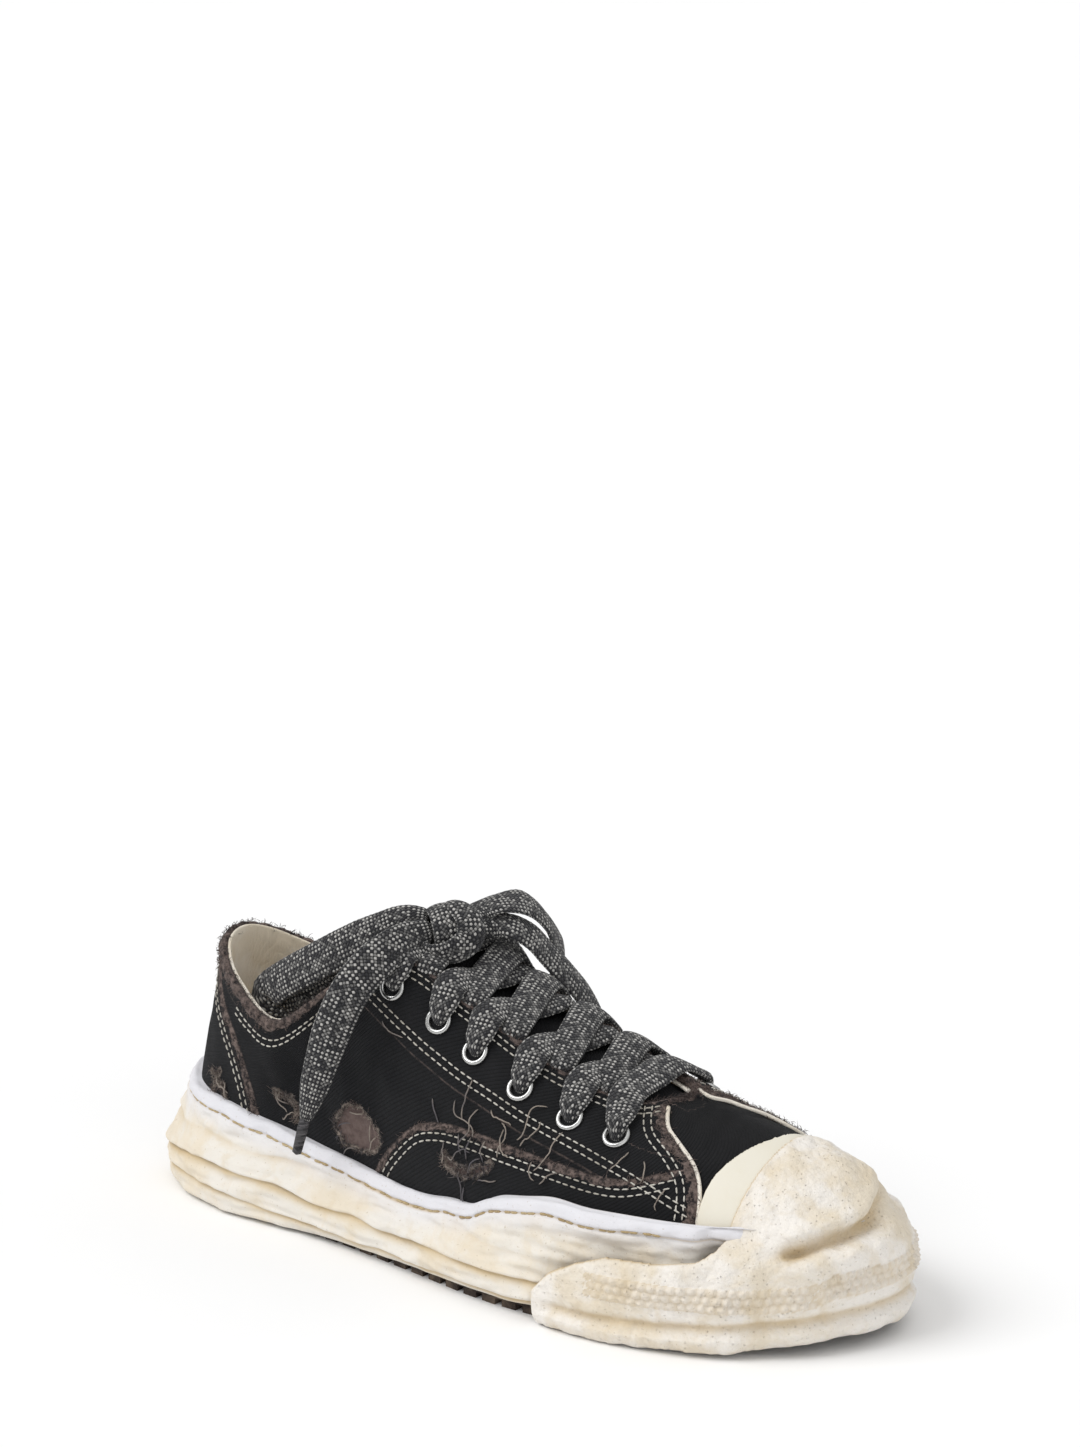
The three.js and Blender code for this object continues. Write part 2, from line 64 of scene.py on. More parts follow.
# %% Camera
AIM = Vector(metres([0, 0, 45]))
AZIMUTH = math.radians(37)
ELEVATION = math.radians(20)
DISTANCE = 1.5
towards = Vector((
    math.sin(AZIMUTH) * math.cos(ELEVATION),
    -math.cos(AZIMUTH) * math.cos(ELEVATION),
    math.sin(ELEVATION),
))
sideways = Vector((math.cos(AZIMUTH), math.sin(AZIMUTH), 0))
bpy.ops.object.camera_add()
camera = bpy.context.object
camera.name = "camera"
turn_matrix = Matrix((sideways, towards.cross(sideways), towards)).transposed().to_4x4()
camera.matrix_world = Matrix.Translation(AIM + towards * DISTANCE) @ turn_matrix
camera.data.lens = 104.5
camera.data.shift_x = 0.0131
camera.data.shift_y = 0.277
camera.data.clip_end = 60
bpy.context.scene.camera = camera
print("camera stands at", [round(c, 3) for c in camera.matrix_world.translation])

# %% [markdown]
# ## The shoe's own measures
# A last is drawn from ribs, sections that stand around the foot. Each rib says where the sole's
# edge and the opening's edge are, how the canvas leaves the sole and meets the opening, and how
# the sole's wall swells. A smooth closed curve through the ribs gives every place between them.

# %% Ribs
# Toe tip first, then the outer side, the heel and the inner side, in millimetres:
# sole x, y | opening x, y, z | rise, flare | back, drop | lip, bulge, hem, tread edge
RIBS = np.array([
    [152, 8, 73, 1, 70.5, 28, 2, 42, 5, 36, -4, 5, -8],
    [140, -24, 73, -2, 70.5, 27, 2, 36, 6, 38, -4, 5, -8],
    [109, -48, 71, -6, 71, 25, 3, 25, 8, 42, -4, 5, -8],
    [70, -57, 58, -15, 70, 24, 3, 20, 11, 43, -3, 5, -7],
    [28, -55, 26, -17, 77.5, 26, 2, 18, 14, 39, 2.5, 4.6, -2],
    [-12, -49, -9, -16, 92, 28, 2, 14, 18, 29, 2.5, 3.6, -2],
    [-50, -44, -38, -19, 105, 28, 2, 10, 24, 32, 2.5, 2.6, -3],
    [-80, -42, -60, -29, 93, 22, 2, 3, 22, 36, 3, 1.6, -4],
    [-106, -40, -86, -33, 74.5, 16, 2, 1, 18, 39, 4, 1, -5],
    [-131, -31, -112, -25, 83, 20, 2, 1, 20, 39, 5, 1, -5],
    [-147, -16, -127, -13, 91, 22, 3, 1, 22, 40, 5, 1, -5],
    [-152, 1, -131, 0, 94, 24, 3, 1, 22, 41, 5, 1, -5],
    [-147, 17, -127, 13, 91, 22, 3, 1, 22, 40, 5, 1, -5],
    [-131, 30, -112, 25, 83, 20, 2, 1, 20, 39, 4.5, 1, -5],
    [-106, 36, -86, 33, 74.5, 16, 2, 1, 18, 38, 4, 1, -5],
    [-80, 36, -60, 29, 93, 22, 1, 3, 22, 36, 3, 1.6, -4],
    [-48, 34, -38, 21, 107, 28, 0, 8, 24, 33, 2.5, 2.6, -3],
    [-10, 35, -9, 18, 94, 28, 0, 11, 18, 31, 2.5, 3.6, -2],
    [30, 43, 26, 16, 82, 28, 1, 15, 14, 38, 2.5, 4.6, -2],
    [70, 53, 58, 12, 73, 26, 3, 18, 10, 42, -3, 5, -7],
    [108, 50, 71, 8, 71, 26, 3, 25, 8, 40, -4, 5, -8],
    [137, 34, 73, 4, 70.5, 27, 2, 34, 6, 38, -4, 5, -8],
])
RIB_COUNT = len(RIBS)
OPENING_X = 2
RISE, FLARE, BACK, DROP, LIP, BULGE, HEM, TREAD_EDGE = range(5, 13)
INSET = 9  # canvas foot, inside the sole's outline
FOOT = 20  # height of the canvas foot
TREAD = 5.4
WALL = 2.2  # canvas and lining together
GAP = 0.3  # air left between one piece and the next
HEEL_TURN = 11  # the rib at the heel: the outer side's turns are below it
print("ribs:", RIB_COUNT)


# %% Curves through points
def between(a, b, c, d, t):
    """The smooth curve from b at t = 0 to c at t = 1, steered by a before it and d after it."""
    square = (2 * a - 5 * b + 4 * c - d) * t**2
    cube = (3 * b - a - 3 * c + d) * t**3
    return 0.5 * (2 * b + (c - a) * t + square + cube)


def closed_curve(table, turn):
    """A smooth closed curve through a table's rows, read at turn, which counts rows."""
    rows = np.asarray(table, float)
    whole = np.floor(turn).astype(int)
    t = np.asarray(turn - whole)
    if rows.ndim > 1:
        t = t[..., None]
    return between(*(rows[(whole + step) % len(rows)] for step in (-1, 0, 1, 2)), t)


def open_curve(points, count):
    """A smooth open curve through points, as count points evenly spread along it."""
    rows = np.asarray(points, float)
    before = 2 * rows[0] - rows[1]
    after = 2 * rows[-1] - rows[-2]
    rows = np.concatenate([[before], rows, [after]])
    fine = np.linspace(0, len(rows) - 3 - 1e-9, 40 * len(rows))
    whole = np.floor(fine).astype(int)
    t = (fine - whole)[:, None]
    return evenly(between(*(rows[whole + step] for step in (0, 1, 2, 3)), t), count)


def lengths(points):
    return np.concatenate([[0], np.cumsum(np.linalg.norm(np.diff(points, axis=0), axis=1))])


def read_at(places, run, points):
    """The points that lie at places along a line whose points lie at run."""
    return np.stack([np.interp(places, run, column) for column in np.asarray(points).T], 1)


def evenly(points, count):
    run = lengths(points)
    return read_at(np.linspace(0, run[-1], count), run, points)


def unit(vectors):
    return vectors / np.maximum(np.linalg.norm(vectors, axis=-1, keepdims=True), 1e-9)


def ease(low, high, value):
    """0 below low, 1 above high and a smooth step between them."""
    t = np.clip((value - low) / (high - low), 0, 1)
    return t * t * (3 - 2 * t)


def bell(distance, width):
    """1 at no distance, falling smoothly to almost nothing at twice the width."""
    return np.exp(-((distance / width) ** 2))


def quarter_round(gap, radius):
    """How far a rounded edge falls away, as a share of its depth, at a gap from the edge."""
    return 1 - np.sqrt(1 - np.clip(1 - gap / radius, 0, 1) ** 2)


def softened(points, rounds):
    """A line's points, each eased towards its neighbours a few times, with the ends held."""
    for _ in range(rounds):
        points[1:-1] = (points[:-2] + 2 * points[1:-1] + points[2:]) / 4
    return points


print("halfway between the toe's first two ribs:", closed_curve(RIBS[:, :2], 0.5).round(1))


# %% The last's surface
def rib_value(column, turn):
    return closed_curve(RIBS[:, column], turn)


def outward(turn):
    """The direction in plan that points away from the shoe."""
    step = 1e-3
    way = closed_curve(RIBS[:, :2], turn + step) - closed_curve(RIBS[:, :2], turn - step)
    return unit(np.stack([-way[..., 1], way[..., 0]], -1))


def spring(x):
    """How far the sole leaves the floor towards the toe."""
    return 5.5 * (np.maximum(0, x - 66) / 86) ** 1.7


def sole_point(turn, offset, z):
    """A point offset outwards from the sole's outline, at height z above the sprung sole."""
    plan = closed_curve(RIBS[:, :2], turn) + outward(turn) * np.asarray(offset)[..., None]
    height = z + spring(plan[..., 0])
    return np.concatenate([plan, np.broadcast_to(height, plan.shape[:-1])[..., None]], -1)


def last_point(turn, v):
    """A point of the upper: v is 0 at the canvas foot and 1 at the opening's edge."""
    foot = sole_point(turn, -INSET, FOOT)
    foot[..., 2] += -0.4 * spring(foot[..., 0])
    edge = closed_curve(RIBS[:, 2:5], turn)
    inward = foot - edge
    inward[..., 2] = 0
    inward = unit(inward)
    away = np.concatenate([outward(turn), np.zeros(edge.shape[:-1] + (1,))], -1)
    low = foot + away * rib_value(FLARE, turn)[..., None]
    low[..., 2] += rib_value(RISE, turn)
    high = edge + inward * rib_value(BACK, turn)[..., None]
    high[..., 2] -= rib_value(DROP, turn)
    v = np.asarray(v)[..., None]
    rest = 1 - v
    return foot * rest**3 + 3 * low * v * rest**2 + 3 * high * v**2 * rest + edge * v**3


def last_normal(turn, v):
    """The way the upper faces at a point, from its neighbours around and above it."""
    step = 0.01
    top = np.minimum(v + step, 1)
    across = last_point(turn + step, v) - last_point(turn - step, v)
    upwards = last_point(turn, top) - last_point(turn, top - 2 * step)
    return unit(np.cross(upwards, across))


def upper_point(turn, v, offset=0.0):
    return last_point(turn, v) + last_normal(turn, v) * np.asarray(offset)[..., None]


FINE_TURNS = np.linspace(0, RIB_COUNT, 4401)
ring_run = lengths(last_point(FINE_TURNS, np.full(FINE_TURNS.shape, 0.3)))
PERIMETER = ring_run[-1]


def turn_at(s):
    """The turn at s, from 0 to 1 in even steps anticlockwise from the toe, seen from above."""
    return np.interp((1 - s) * PERIMETER, ring_run, FINE_TURNS)


print("around the upper:", round(PERIMETER), "mm")

# %% [markdown]
# ## Fine skins
# Hand-moulded rubber and worn cloth have no flat faces, so each skin starts as a flat grid whose
# points are then laid on a formula of the last. A modelled lump could be sculpted, but a formula
# keeps every skin exactly on its neighbour. Edges that meet are merged, so skins close.

# %% A grid laid on a form
def laid_sheet(name, across, up, place, size):
    """A grid of across by up faces, laid by place(s, t), with a UV map in millimetres."""
    bpy.ops.object.select_all(action="DESELECT")
    bpy.ops.mesh.primitive_grid_add(x_subdivisions=across, y_subdivisions=up, size=1)
    piece = bpy.context.object
    piece.name = piece.data.name = name
    flat = np.empty(len(piece.data.vertices) * 3)
    piece.data.vertices.foreach_get("co", flat)
    s, t = np.clip(flat.reshape(-1, 3)[:, :2].T + 0.5, 0, 1)
    points, marks = place(s, t)
    piece.data.vertices.foreach_set("co", metres(points).ravel())
    for mark, values in marks.items():
        attribute = piece.data.attributes.new(mark, "FLOAT", "POINT")
        attribute.data.foreach_set("value", np.broadcast_to(values, s.shape).astype(np.float32))
    layer = piece.data.uv_layers.active.data
    uv = np.empty(len(layer) * 2)
    layer.foreach_get("uv", uv)
    layer.foreach_set("uv", (uv.reshape(-1, 2) * np.array(size)).ravel())
    bpy.ops.object.mode_set(mode="EDIT")
    bpy.ops.mesh.select_all(action="SELECT")
    bpy.ops.mesh.remove_doubles(threshold=2e-6)
    bpy.ops.object.mode_set(mode="OBJECT")
    bpy.ops.object.shade_smooth()
    print(name, len(piece.data.polygons), "faces")
    return piece


def finish_piece(piece, material, slot, *nodes):
    """Gives a piece its finish and its place on the shoe's one body, and hides the solids it stands
    for.
    """
    piece.data.materials.clear()
    piece.data.materials.append(material)
    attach(piece, "root")
    if nodes:
        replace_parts(piece, *nodes)
    return piece


def thicken(piece, thickness):
    """Gives a skin a wall, inwards, with the Solidify modifier."""
    bpy.ops.object.select_all(action="DESELECT")
    piece.select_set(True)
    bpy.context.view_layer.objects.active = piece
    wall = piece.modifiers.new("wall", "SOLIDIFY")
    wall.thickness = thickness * MM
    wall.offset = -1
    bpy.ops.object.modifier_apply(modifier="wall")


def mesh_piece(name, points, faces):
    """A smooth-shaded piece from points in millimetres and the faces between them."""
    mesh = bpy.data.meshes.new(name)
    mesh.from_pydata(metres(points).tolist(), [], faces)
    piece = bpy.data.objects.new(name, mesh)
    bpy.context.collection.objects.link(piece)
    mesh.shade_smooth()
    return piece


def lumps(points, pitch, seed, waves=9):
    """Soft bumps about a pitch apart, from -1 to 1, as sine waves in seeded directions."""
    random = np.random.default_rng(seed)
    ways = unit(random.normal(size=(waves, 3))) * (2 * math.pi / pitch)
    ways *= random.uniform(0.7, 1.4, (waves, 1))
    phases = random.uniform(0, 2 * math.pi, waves)
    bent = points + 0.25 * pitch * np.sin(points[..., [1, 2, 0]] * 2.1 / pitch)
    return np.sin(bent @ ways.T + phases).sum(-1) / waves * 1.6


# %% [markdown]
# ## Finishes
# Every finish is built from a few shared effects: crossed threads, soft stains and grain. Each
# effect is a node group that puts out a mask or a height, and each material mixes its own colours.

# %% Helpers for nodes
def paint(red, green, blue):
    """A screen colour, 0 to 255, as the linear colour that nodes use."""
    def linear(c):
        c /= 255
        return c / 12.92 if c <= 0.04045 else ((c + 0.055) / 1.055) ** 2.4
    return (linear(red), linear(green), linear(blue), 1.0)


def add(tree, kind, inputs=None, **settings):
    """A node with its settings, and its inputs linked to sockets or set to values."""
    node = tree.nodes.new(kind)
    for key, value in settings.items():
        setattr(node, key, value)
    for key, value in (inputs or {}).items():
        socket = node.inputs[key]
        if isinstance(value, bpy.types.NodeSocket):
            tree.links.new(value, socket)
        else:
            socket.default_value = value
    return node


def sums(tree, operation, a, b=0.0, c=0.0):
    """One Math node's result."""
    return add(tree, "ShaderNodeMath", {0: a, 1: b, 2: c}, operation=operation).outputs[0]


def times(tree, a, b):
    return sums(tree, "MULTIPLY", a, b)


def plus(tree, a, b):
    return sums(tree, "ADD", a, b)


def span(tree, value, low, high, start=0.0, end=1.0):
    """Smoothly from start, where value is low, to end, where it is high."""
    inputs = {"Value": value, "From Min": low, "From Max": high, "To Min": start, "To Max": end}
    node = add(tree, "ShaderNodeMapRange", inputs, interpolation_type="SMOOTHSTEP")
    return node.outputs["Result"]


def mix(tree, factor, a, b, blend="MIX"):
    node = add(tree, "ShaderNodeMix", data_type="RGBA", blend_type=blend)
    for index, value in ((0, factor), (6, a), (7, b)):
        if isinstance(value, bpy.types.NodeSocket):
            tree.links.new(value, node.inputs[index])
        else:
            node.inputs[index].default_value = value
    return node.outputs[2]


def mark(tree, name):
    """A number that the mesh carries at each of its points."""
    return add(tree, "ShaderNodeAttribute", attribute_name=name).outputs["Fac"]


def coordinates(tree):
    return add(tree, "ShaderNodeTexCoord").outputs["Object"]


def noise(tree, vector, scale, detail=3.0, roughness=0.55):
    inputs = {"Vector": vector, "Scale": scale, "Detail": detail, "Roughness": roughness}
    return add(tree, "ShaderNodeTexNoise", inputs).outputs["Fac"]


def new_material(name, roughness, sheen=0.0):
    material = bpy.data.materials.new(name)
    material.use_nodes = True
    surface = material.node_tree.nodes["Principled BSDF"]
    surface.inputs["Roughness"].default_value = roughness
    surface.inputs["Sheen Weight"].default_value = sheen
    surface.inputs["Specular IOR Level"].default_value = 0.3
    return material, material.node_tree, surface


def relief(tree, surface, height, distance):
    """Fine bumps of a height times distance, in millimetres."""
    bump = add(tree, "ShaderNodeBump", {"Height": height, "Distance": distance * MM, "Strength": 1.0})
    tree.links.new(bump.outputs["Normal"], surface.inputs["Normal"])


def new_group(name, sockets_in, sockets_out):
    """An empty node group with named sockets, and its two end nodes."""
    group = bpy.data.node_groups.new(name, "ShaderNodeTree")
    for title, kind, value in sockets_in:
        socket = group.interface.new_socket(title, in_out="INPUT", socket_type=kind)
        if value is not None:
            socket.default_value = value
    for title in sockets_out:
        group.interface.new_socket(title, in_out="OUTPUT", socket_type="NodeSocketFloat")
    return group, group.nodes.new("NodeGroupInput"), group.nodes.new("NodeGroupOutput")


def use_group(tree, group, inputs):
    return add(tree, "ShaderNodeGroup", inputs, node_tree=group).outputs


def tint(tree, surface, colour):
    tree.links.new(colour, surface.inputs["Base Color"])


def dull(tree, surface, roughness):
    tree.links.new(roughness, surface.inputs["Roughness"])


# %% Shared effect: crossed threads
FLOAT = "NodeSocketFloat"
VECTOR = "NodeSocketVector"


def make_crossed_threads():
    """Cells between two sets of slanting threads: a rounded height and a random shade a cell."""
    group, given, result = new_group(
        "crossed threads",
        [
            ("Vector", VECTOR, None), ("Pitch A", FLOAT, 1.0), ("Pitch B", FLOAT, 1.0),
            ("Slant", FLOAT, 1.0),
        ],
        ["Height", "Shade", "Check"],
    )
    axes = add(group, "ShaderNodeSeparateXYZ", {"Vector": given.outputs["Vector"]})
    along, across = axes.outputs["X"], axes.outputs["Y"]
    leaning = times(group, across, given.outputs["Slant"])
    first = sums(group, "DIVIDE", plus(group, along, leaning), given.outputs["Pitch A"])
    second = sums(group, "DIVIDE", sums(group, "SUBTRACT", leaning, along), given.outputs["Pitch B"])
    waves = []
    for value in (first, second):
        part = sums(group, "FRACT", value)
        waves.append(sums(group, "SINE", times(group, part, math.pi)))
    height = sums(group, "POWER", times(group, *waves), 0.6)
    cell = add(group, "ShaderNodeCombineXYZ", {
        "X": sums(group, "FLOOR", first), "Y": sums(group, "FLOOR", second),
    })
    shade = add(group, "ShaderNodeTexWhiteNoise", {"Vector": cell.outputs[0]}, noise_dimensions="2D")
    count = plus(group, sums(group, "FLOOR", first), sums(group, "FLOOR", second))
    group.links.new(sums(group, "FLOORED_MODULO", count, 2.0), result.inputs["Check"])
    group.links.new(height, result.inputs["Height"])
    group.links.new(shade.outputs["Value"], result.inputs["Shade"])
    return group


CROSSED_THREADS = make_crossed_threads()


def threads(tree, vector, pitch_a, pitch_b, slant=1.0):
    inputs = {"Vector": vector, "Pitch A": pitch_a, "Pitch B": pitch_b, "Slant": slant}
    return use_group(tree, CROSSED_THREADS, inputs)


print("shared effect:", CROSSED_THREADS.name)


# %% Shared effect: soft stains
def make_stains():
    """A mask of soft blotches: more of the surface is stained as Spread grows."""
    group, given, result = new_group(
        "soft stains",
        [("Vector", VECTOR, None), ("Scale", FLOAT, 30.0), ("Spread", FLOAT, 0.5)],
        ["Mask"],
    )
    field = add(group, "ShaderNodeTexNoise", {
        "Vector": given.outputs["Vector"], "Scale": given.outputs["Scale"], "Detail": 5.0,
        "Roughness": 0.6, "Distortion": 0.4,
    }).outputs["Fac"]
    level = plus(group, field, sums(group, "SUBTRACT", given.outputs["Spread"], 1.0))
    group.links.new(span(group, level, -0.08, 0.12), result.inputs["Mask"])
    return group


STAINS = make_stains()


def stains_on(tree, vector, scale, spread):
    inputs = {"Vector": vector, "Scale": scale, "Spread": spread}
    return use_group(tree, STAINS, inputs)["Mask"]


print("shared effect:", STAINS.name)


# %% [markdown]
# ## Clay-like rubber
# The sole is cast off-white and left to yellow: bluish where it is fresh, with dust in the pits.
# Its creases, grooves and edges are darkened to a brownish cream by painted shade: a mark on the mesh
# says how deep a point lies, and the lip mark says where the smooth painted band is.

# %% Clay finish
def clay_material(name, pits, fresh):
    """Clay rubber: pits says how rough it is cast, and fresh is its colour before it yellows."""
    material, tree, surface = new_material(name, 0.72)
    where = coordinates(tree)
    painted_shade = mark(tree, "painted_shade")
    lip = mark(tree, "lip")
    stains = stains_on(tree, where, 34.0, 0.5)
    veins = stains_on(tree, where, 90.0, 0.42)
    base = mix(tree, stains, fresh, paint(224, 213, 194))
    base = mix(tree, times(tree, veins, 0.34), base, paint(212, 194, 162))
    base = mix(tree, lip, base, paint(219, 219, 225))
    # Painted shade: the clay is tinted brown in the creases, grooves and edges that the mesh marks, and
    # darkened most where they are deepest.
    deep = span(tree, painted_shade, 0.15, 1.1)
    tinted = mix(tree, times(tree, deep, 0.75), base, paint(196, 172, 128))
    darkest = times(tree, span(tree, painted_shade, 0.8, 2.2), 0.7)
    tinted = mix(tree, darkest, tinted, paint(122, 104, 84))
    specks = noise(tree, where, 900.0, 2.0)
    dust = times(tree, span(tree, specks, 0.66, 0.74), 0.45)
    tint(tree, surface, mix(tree, dust, tinted, paint(168, 150, 120)))
    coarse = noise(tree, where, 420.0, 4.0, 0.6)
    pit = add(tree, "ShaderNodeTexVoronoi", {"Vector": where, "Scale": 520.0}).outputs["Distance"]
    holes = times(tree, span(tree, pit, 0.02, 0.2), 0.35 * pits)
    height = plus(tree, times(tree, coarse, 0.9 * pits), holes)
    relief(tree, surface, height, 0.4 + 0.35 * pits)
    dull(tree, surface, span(tree, coarse, 0.3, 0.7, 0.6, 0.85))
    return material


CLAY = clay_material("moulded clay rubber", 0.55, paint(228, 223, 214))
CLAY_TOE = clay_material("rough clay rubber", 1.3, paint(236, 231, 224))


def cap_material():
    material, tree, surface = new_material("smooth cap rubber", 0.45)
    where = coordinates(tree)
    stains = stains_on(tree, where, 40.0, 0.42)
    base = mix(tree, times(tree, stains, 0.4), paint(226, 221, 207), paint(219, 210, 187))
    # Painted shade: browner along the cap's sunken back edge, where the mesh marks it.
    rim = span(tree, mark(tree, "painted_shade"), 0.1, 1.0)
    tint(tree, surface, mix(tree, rim, base, paint(196, 184, 156)))
    relief(tree, surface, noise(tree, where, 700.0, 3.0), 0.08)
    dull(tree, surface, span(tree, noise(tree, where, 120.0), 0.3, 0.7, 0.4, 0.55))
    return material


CAP_RUBBER = cap_material()
print("clay and cap finishes made")


# %% [markdown]
# ## Canvas and its frayed edges
# The canvas is a near-black twill. Where a panel was cut and never hemmed, its edge has frayed to
# a brown-grey fluff. The mesh carries how far each point is from such an edge (fray_gap), how wide
# the fluff is (fray_width), and how far it lies inside a tear (torn).

# %% Canvas finish
def canvas_material():
    material, tree, surface = new_material("washed black twill", 0.96, 0.03)
    where = coordinates(tree)
    weave = add(tree, "ShaderNodeUVMap").outputs["UV"]
    thread = threads(tree, weave, 0.62, 2.3)
    cloth = mix(tree, thread["Shade"], paint(10, 11, 14), paint(22, 23, 28))
    # Painted shade: the twill is darkened where its threads dip low.
    cloth = mix(tree, span(tree, thread["Height"], 0.2, 0.9), paint(7, 8, 11), cloth)
    worn = stains_on(tree, where, 45.0, 0.4)
    cloth = mix(tree, times(tree, worn, 0.3), cloth, paint(32, 31, 34))
    fluff = noise(tree, where, 520.0, 4.0, 0.7)
    uneven = span(tree, noise(tree, where, 170.0, 3.0), 0.3, 0.7, 0.45, 1.35)
    gap = mark(tree, "fray_gap")
    reach = times(tree, mark(tree, "fray_width"), uneven)
    left = sums(tree, "SUBTRACT", reach, gap)
    strip = times(tree, span(tree, gap, -0.9, 0.1), span(tree, left, -0.3, 0.5))
    brown = mix(tree, span(tree, fluff, 0.35, 0.65), paint(34, 30, 31), paint(116, 102, 96))
    cloth = mix(tree, strip, cloth, brown)
    torn = mark(tree, "torn")
    under = mix(tree, span(tree, fluff, 0.3, 0.7), paint(92, 78, 75), paint(112, 97, 92))
    cloth = mix(tree, span(tree, torn, 0.1, 0.7), cloth, under)
    rim = times(tree, span(tree, torn, -1.6, -0.4), span(tree, torn, 0.9, 0.1))
    frayed = mix(tree, span(tree, fluff, 0.4, 0.6), paint(40, 38, 40), paint(150, 138, 128))
    cloth = mix(tree, times(tree, rim, 0.9), cloth, frayed)
    tint(tree, surface, cloth)
    rough = sums(tree, "MAXIMUM", strip, span(tree, torn, -1.5, 0.0))
    height = mix(tree, rough, thread["Height"], fluff)
    relief(tree, surface, height, 0.35)
    return material


CANVAS = canvas_material()


def cotton_material(name, light, shade, pitch):
    """Plain cotton such as the lining, the insole's cover and the stitching."""
    material, tree, surface = new_material(name, 0.9, 0.1)
    where = coordinates(tree)
    weave = add(tree, "ShaderNodeMapping", {"Vector": where, "Scale": (1000.0, 1000.0, 1000.0)})
    thread = threads(tree, weave.outputs[0], pitch, pitch)
    stains = stains_on(tree, where, 30.0, 0.5)
    cloth = mix(tree, stains, light, shade)
    cloth = mix(tree, times(tree, thread["Shade"], 0.18), cloth, shade)
    tint(tree, surface, cloth)
    height = plus(tree, thread["Height"], noise(tree, where, 300.0, 4.0))
    relief(tree, surface, height, 0.2)
    return material


LINING = cotton_material("cream lining cloth", paint(247, 240, 228), paint(233, 221, 200), 0.8)
INSOLE_CLOTH = cotton_material("tan insole cloth", paint(214, 190, 140), paint(188, 160, 110), 1.1)
WHITE_THREAD = cotton_material("white thread", paint(226, 222, 212), paint(190, 184, 172), 0.5)
TAN_THREAD = cotton_material("waxed tan thread", paint(206, 186, 146), paint(176, 152, 112), 0.7)
FLUFF = cotton_material("frayed brown fluff", paint(118, 102, 95), paint(62, 52, 50), 0.5)
GREY_THREAD = cotton_material("loose grey thread", paint(168, 156, 144), paint(96, 92, 96), 0.5)
print("canvas and cotton finishes made")


# %% [markdown]
# ## Lace weave, metal and tread rubber
# The laces are woven in a slanting basket of light and dark yarn, so the weave follows each lace's
# own length. The eyelets are bright nickel, and the tread is a dark brown rubber.

# %% Lace, metal and tread finishes
def lace_material():
    material, tree, surface = new_material("salt and pepper lace", 0.92, 0.15)
    weave = add(tree, "ShaderNodeUVMap").outputs["UV"]
    thread = threads(tree, weave, 1.55, 1.55)
    fine = noise(tree, coordinates(tree), 2200.0, 2.0)
    light = plus(tree, times(tree, thread["Check"], 0.5), times(tree, thread["Shade"], 0.8))
    speckle = times(tree, sums(tree, "SUBTRACT", fine, 0.5), 0.5)
    light = plus(tree, light, speckle)
    yarn = mix(tree, span(tree, light, 0.5, 1.15), paint(38, 38, 42), paint(182, 180, 176))
    # Painted shade: darker in the dips between the woven cells.
    yarn = mix(tree, span(tree, thread["Height"], 0.1, 0.8), paint(14, 14, 16), yarn)
    tint(tree, surface, yarn)
    height = plus(tree, thread["Height"], times(tree, fine, 0.3))
    relief(tree, surface, height, 0.4)
    return material


def metal_material():
    material, tree, surface = new_material("bright nickel", 0.24)
    surface.inputs["Metallic"].default_value = 1.0
    where = coordinates(tree)
    scratches = noise(tree, where, 900.0, 4.0, 0.7)
    tint(tree, surface, mix(tree, scratches, paint(168, 168, 167), paint(206, 206, 204)))
    dull(tree, surface, span(tree, scratches, 0.3, 0.8, 0.18, 0.36))
    relief(tree, surface, scratches, 0.03)
    return material


def tread_material():
    material, tree, surface = new_material("dark tread rubber", 0.85)
    where = coordinates(tree)
    dust = stains_on(tree, where, 80.0, 0.5)
    grain = noise(tree, where, 800.0, 4.0)
    base = mix(tree, grain, paint(40, 33, 30), paint(66, 56, 50))
    tint(tree, surface, mix(tree, times(tree, dust, 0.6), base, paint(116, 102, 88)))
    relief(tree, surface, grain, 0.3)
    return material


LACE_YARN = lace_material()
NICKEL = metal_material()
TREAD_RUBBER = tread_material()
print("lace, metal and tread finishes made")


# %% [markdown]
# ## Laces
# Each lace is a flat woven tube. It is drawn as a rounded band that follows a route: it
# gathers to a thick cord where it dives into an eyelet, lies flat where it crosses the tongue, and
# tapers into its bound tip. Curves with a bevel can't change their section this way, so the band
# is a grid rolled round its route.

# %% Bands
LACE_WIDTH = 12.6
LACE_THICKNESS = 2.5
BAND_STEP = 1.0  # mm between the band's cross-sections
BAND_AROUND = 26  # faces round its section


def band_section():
    """The band's outline at equal steps: across from -1 to 1, and high from -1 to 1."""
    angles = np.linspace(0, 2 * math.pi, 721)
    across = np.sign(np.cos(angles)) * np.abs(np.cos(angles)) ** 0.75
    high = np.sign(np.sin(angles)) * np.abs(np.sin(angles)) ** 0.85
    return evenly(np.stack([across, high * 0.2], 1), BAND_AROUND + 1) / [1, 0.2]


BAND_SECTION = band_section()
print("faces round a lace:", BAND_AROUND)


def profile(spec, fractions):
    """A size along the band: one number, or fraction and size pairs joined smoothly."""
    if np.isscalar(spec):
        return np.full(len(fractions), float(spec))
    at, values = np.array(spec, float).T
    eased = np.interp(fractions, at, values)
    kernel = np.hanning(7)
    padded = np.pad(eased, 3, mode="edge")
    return np.convolve(padded, kernel / kernel.sum(), mode="valid")


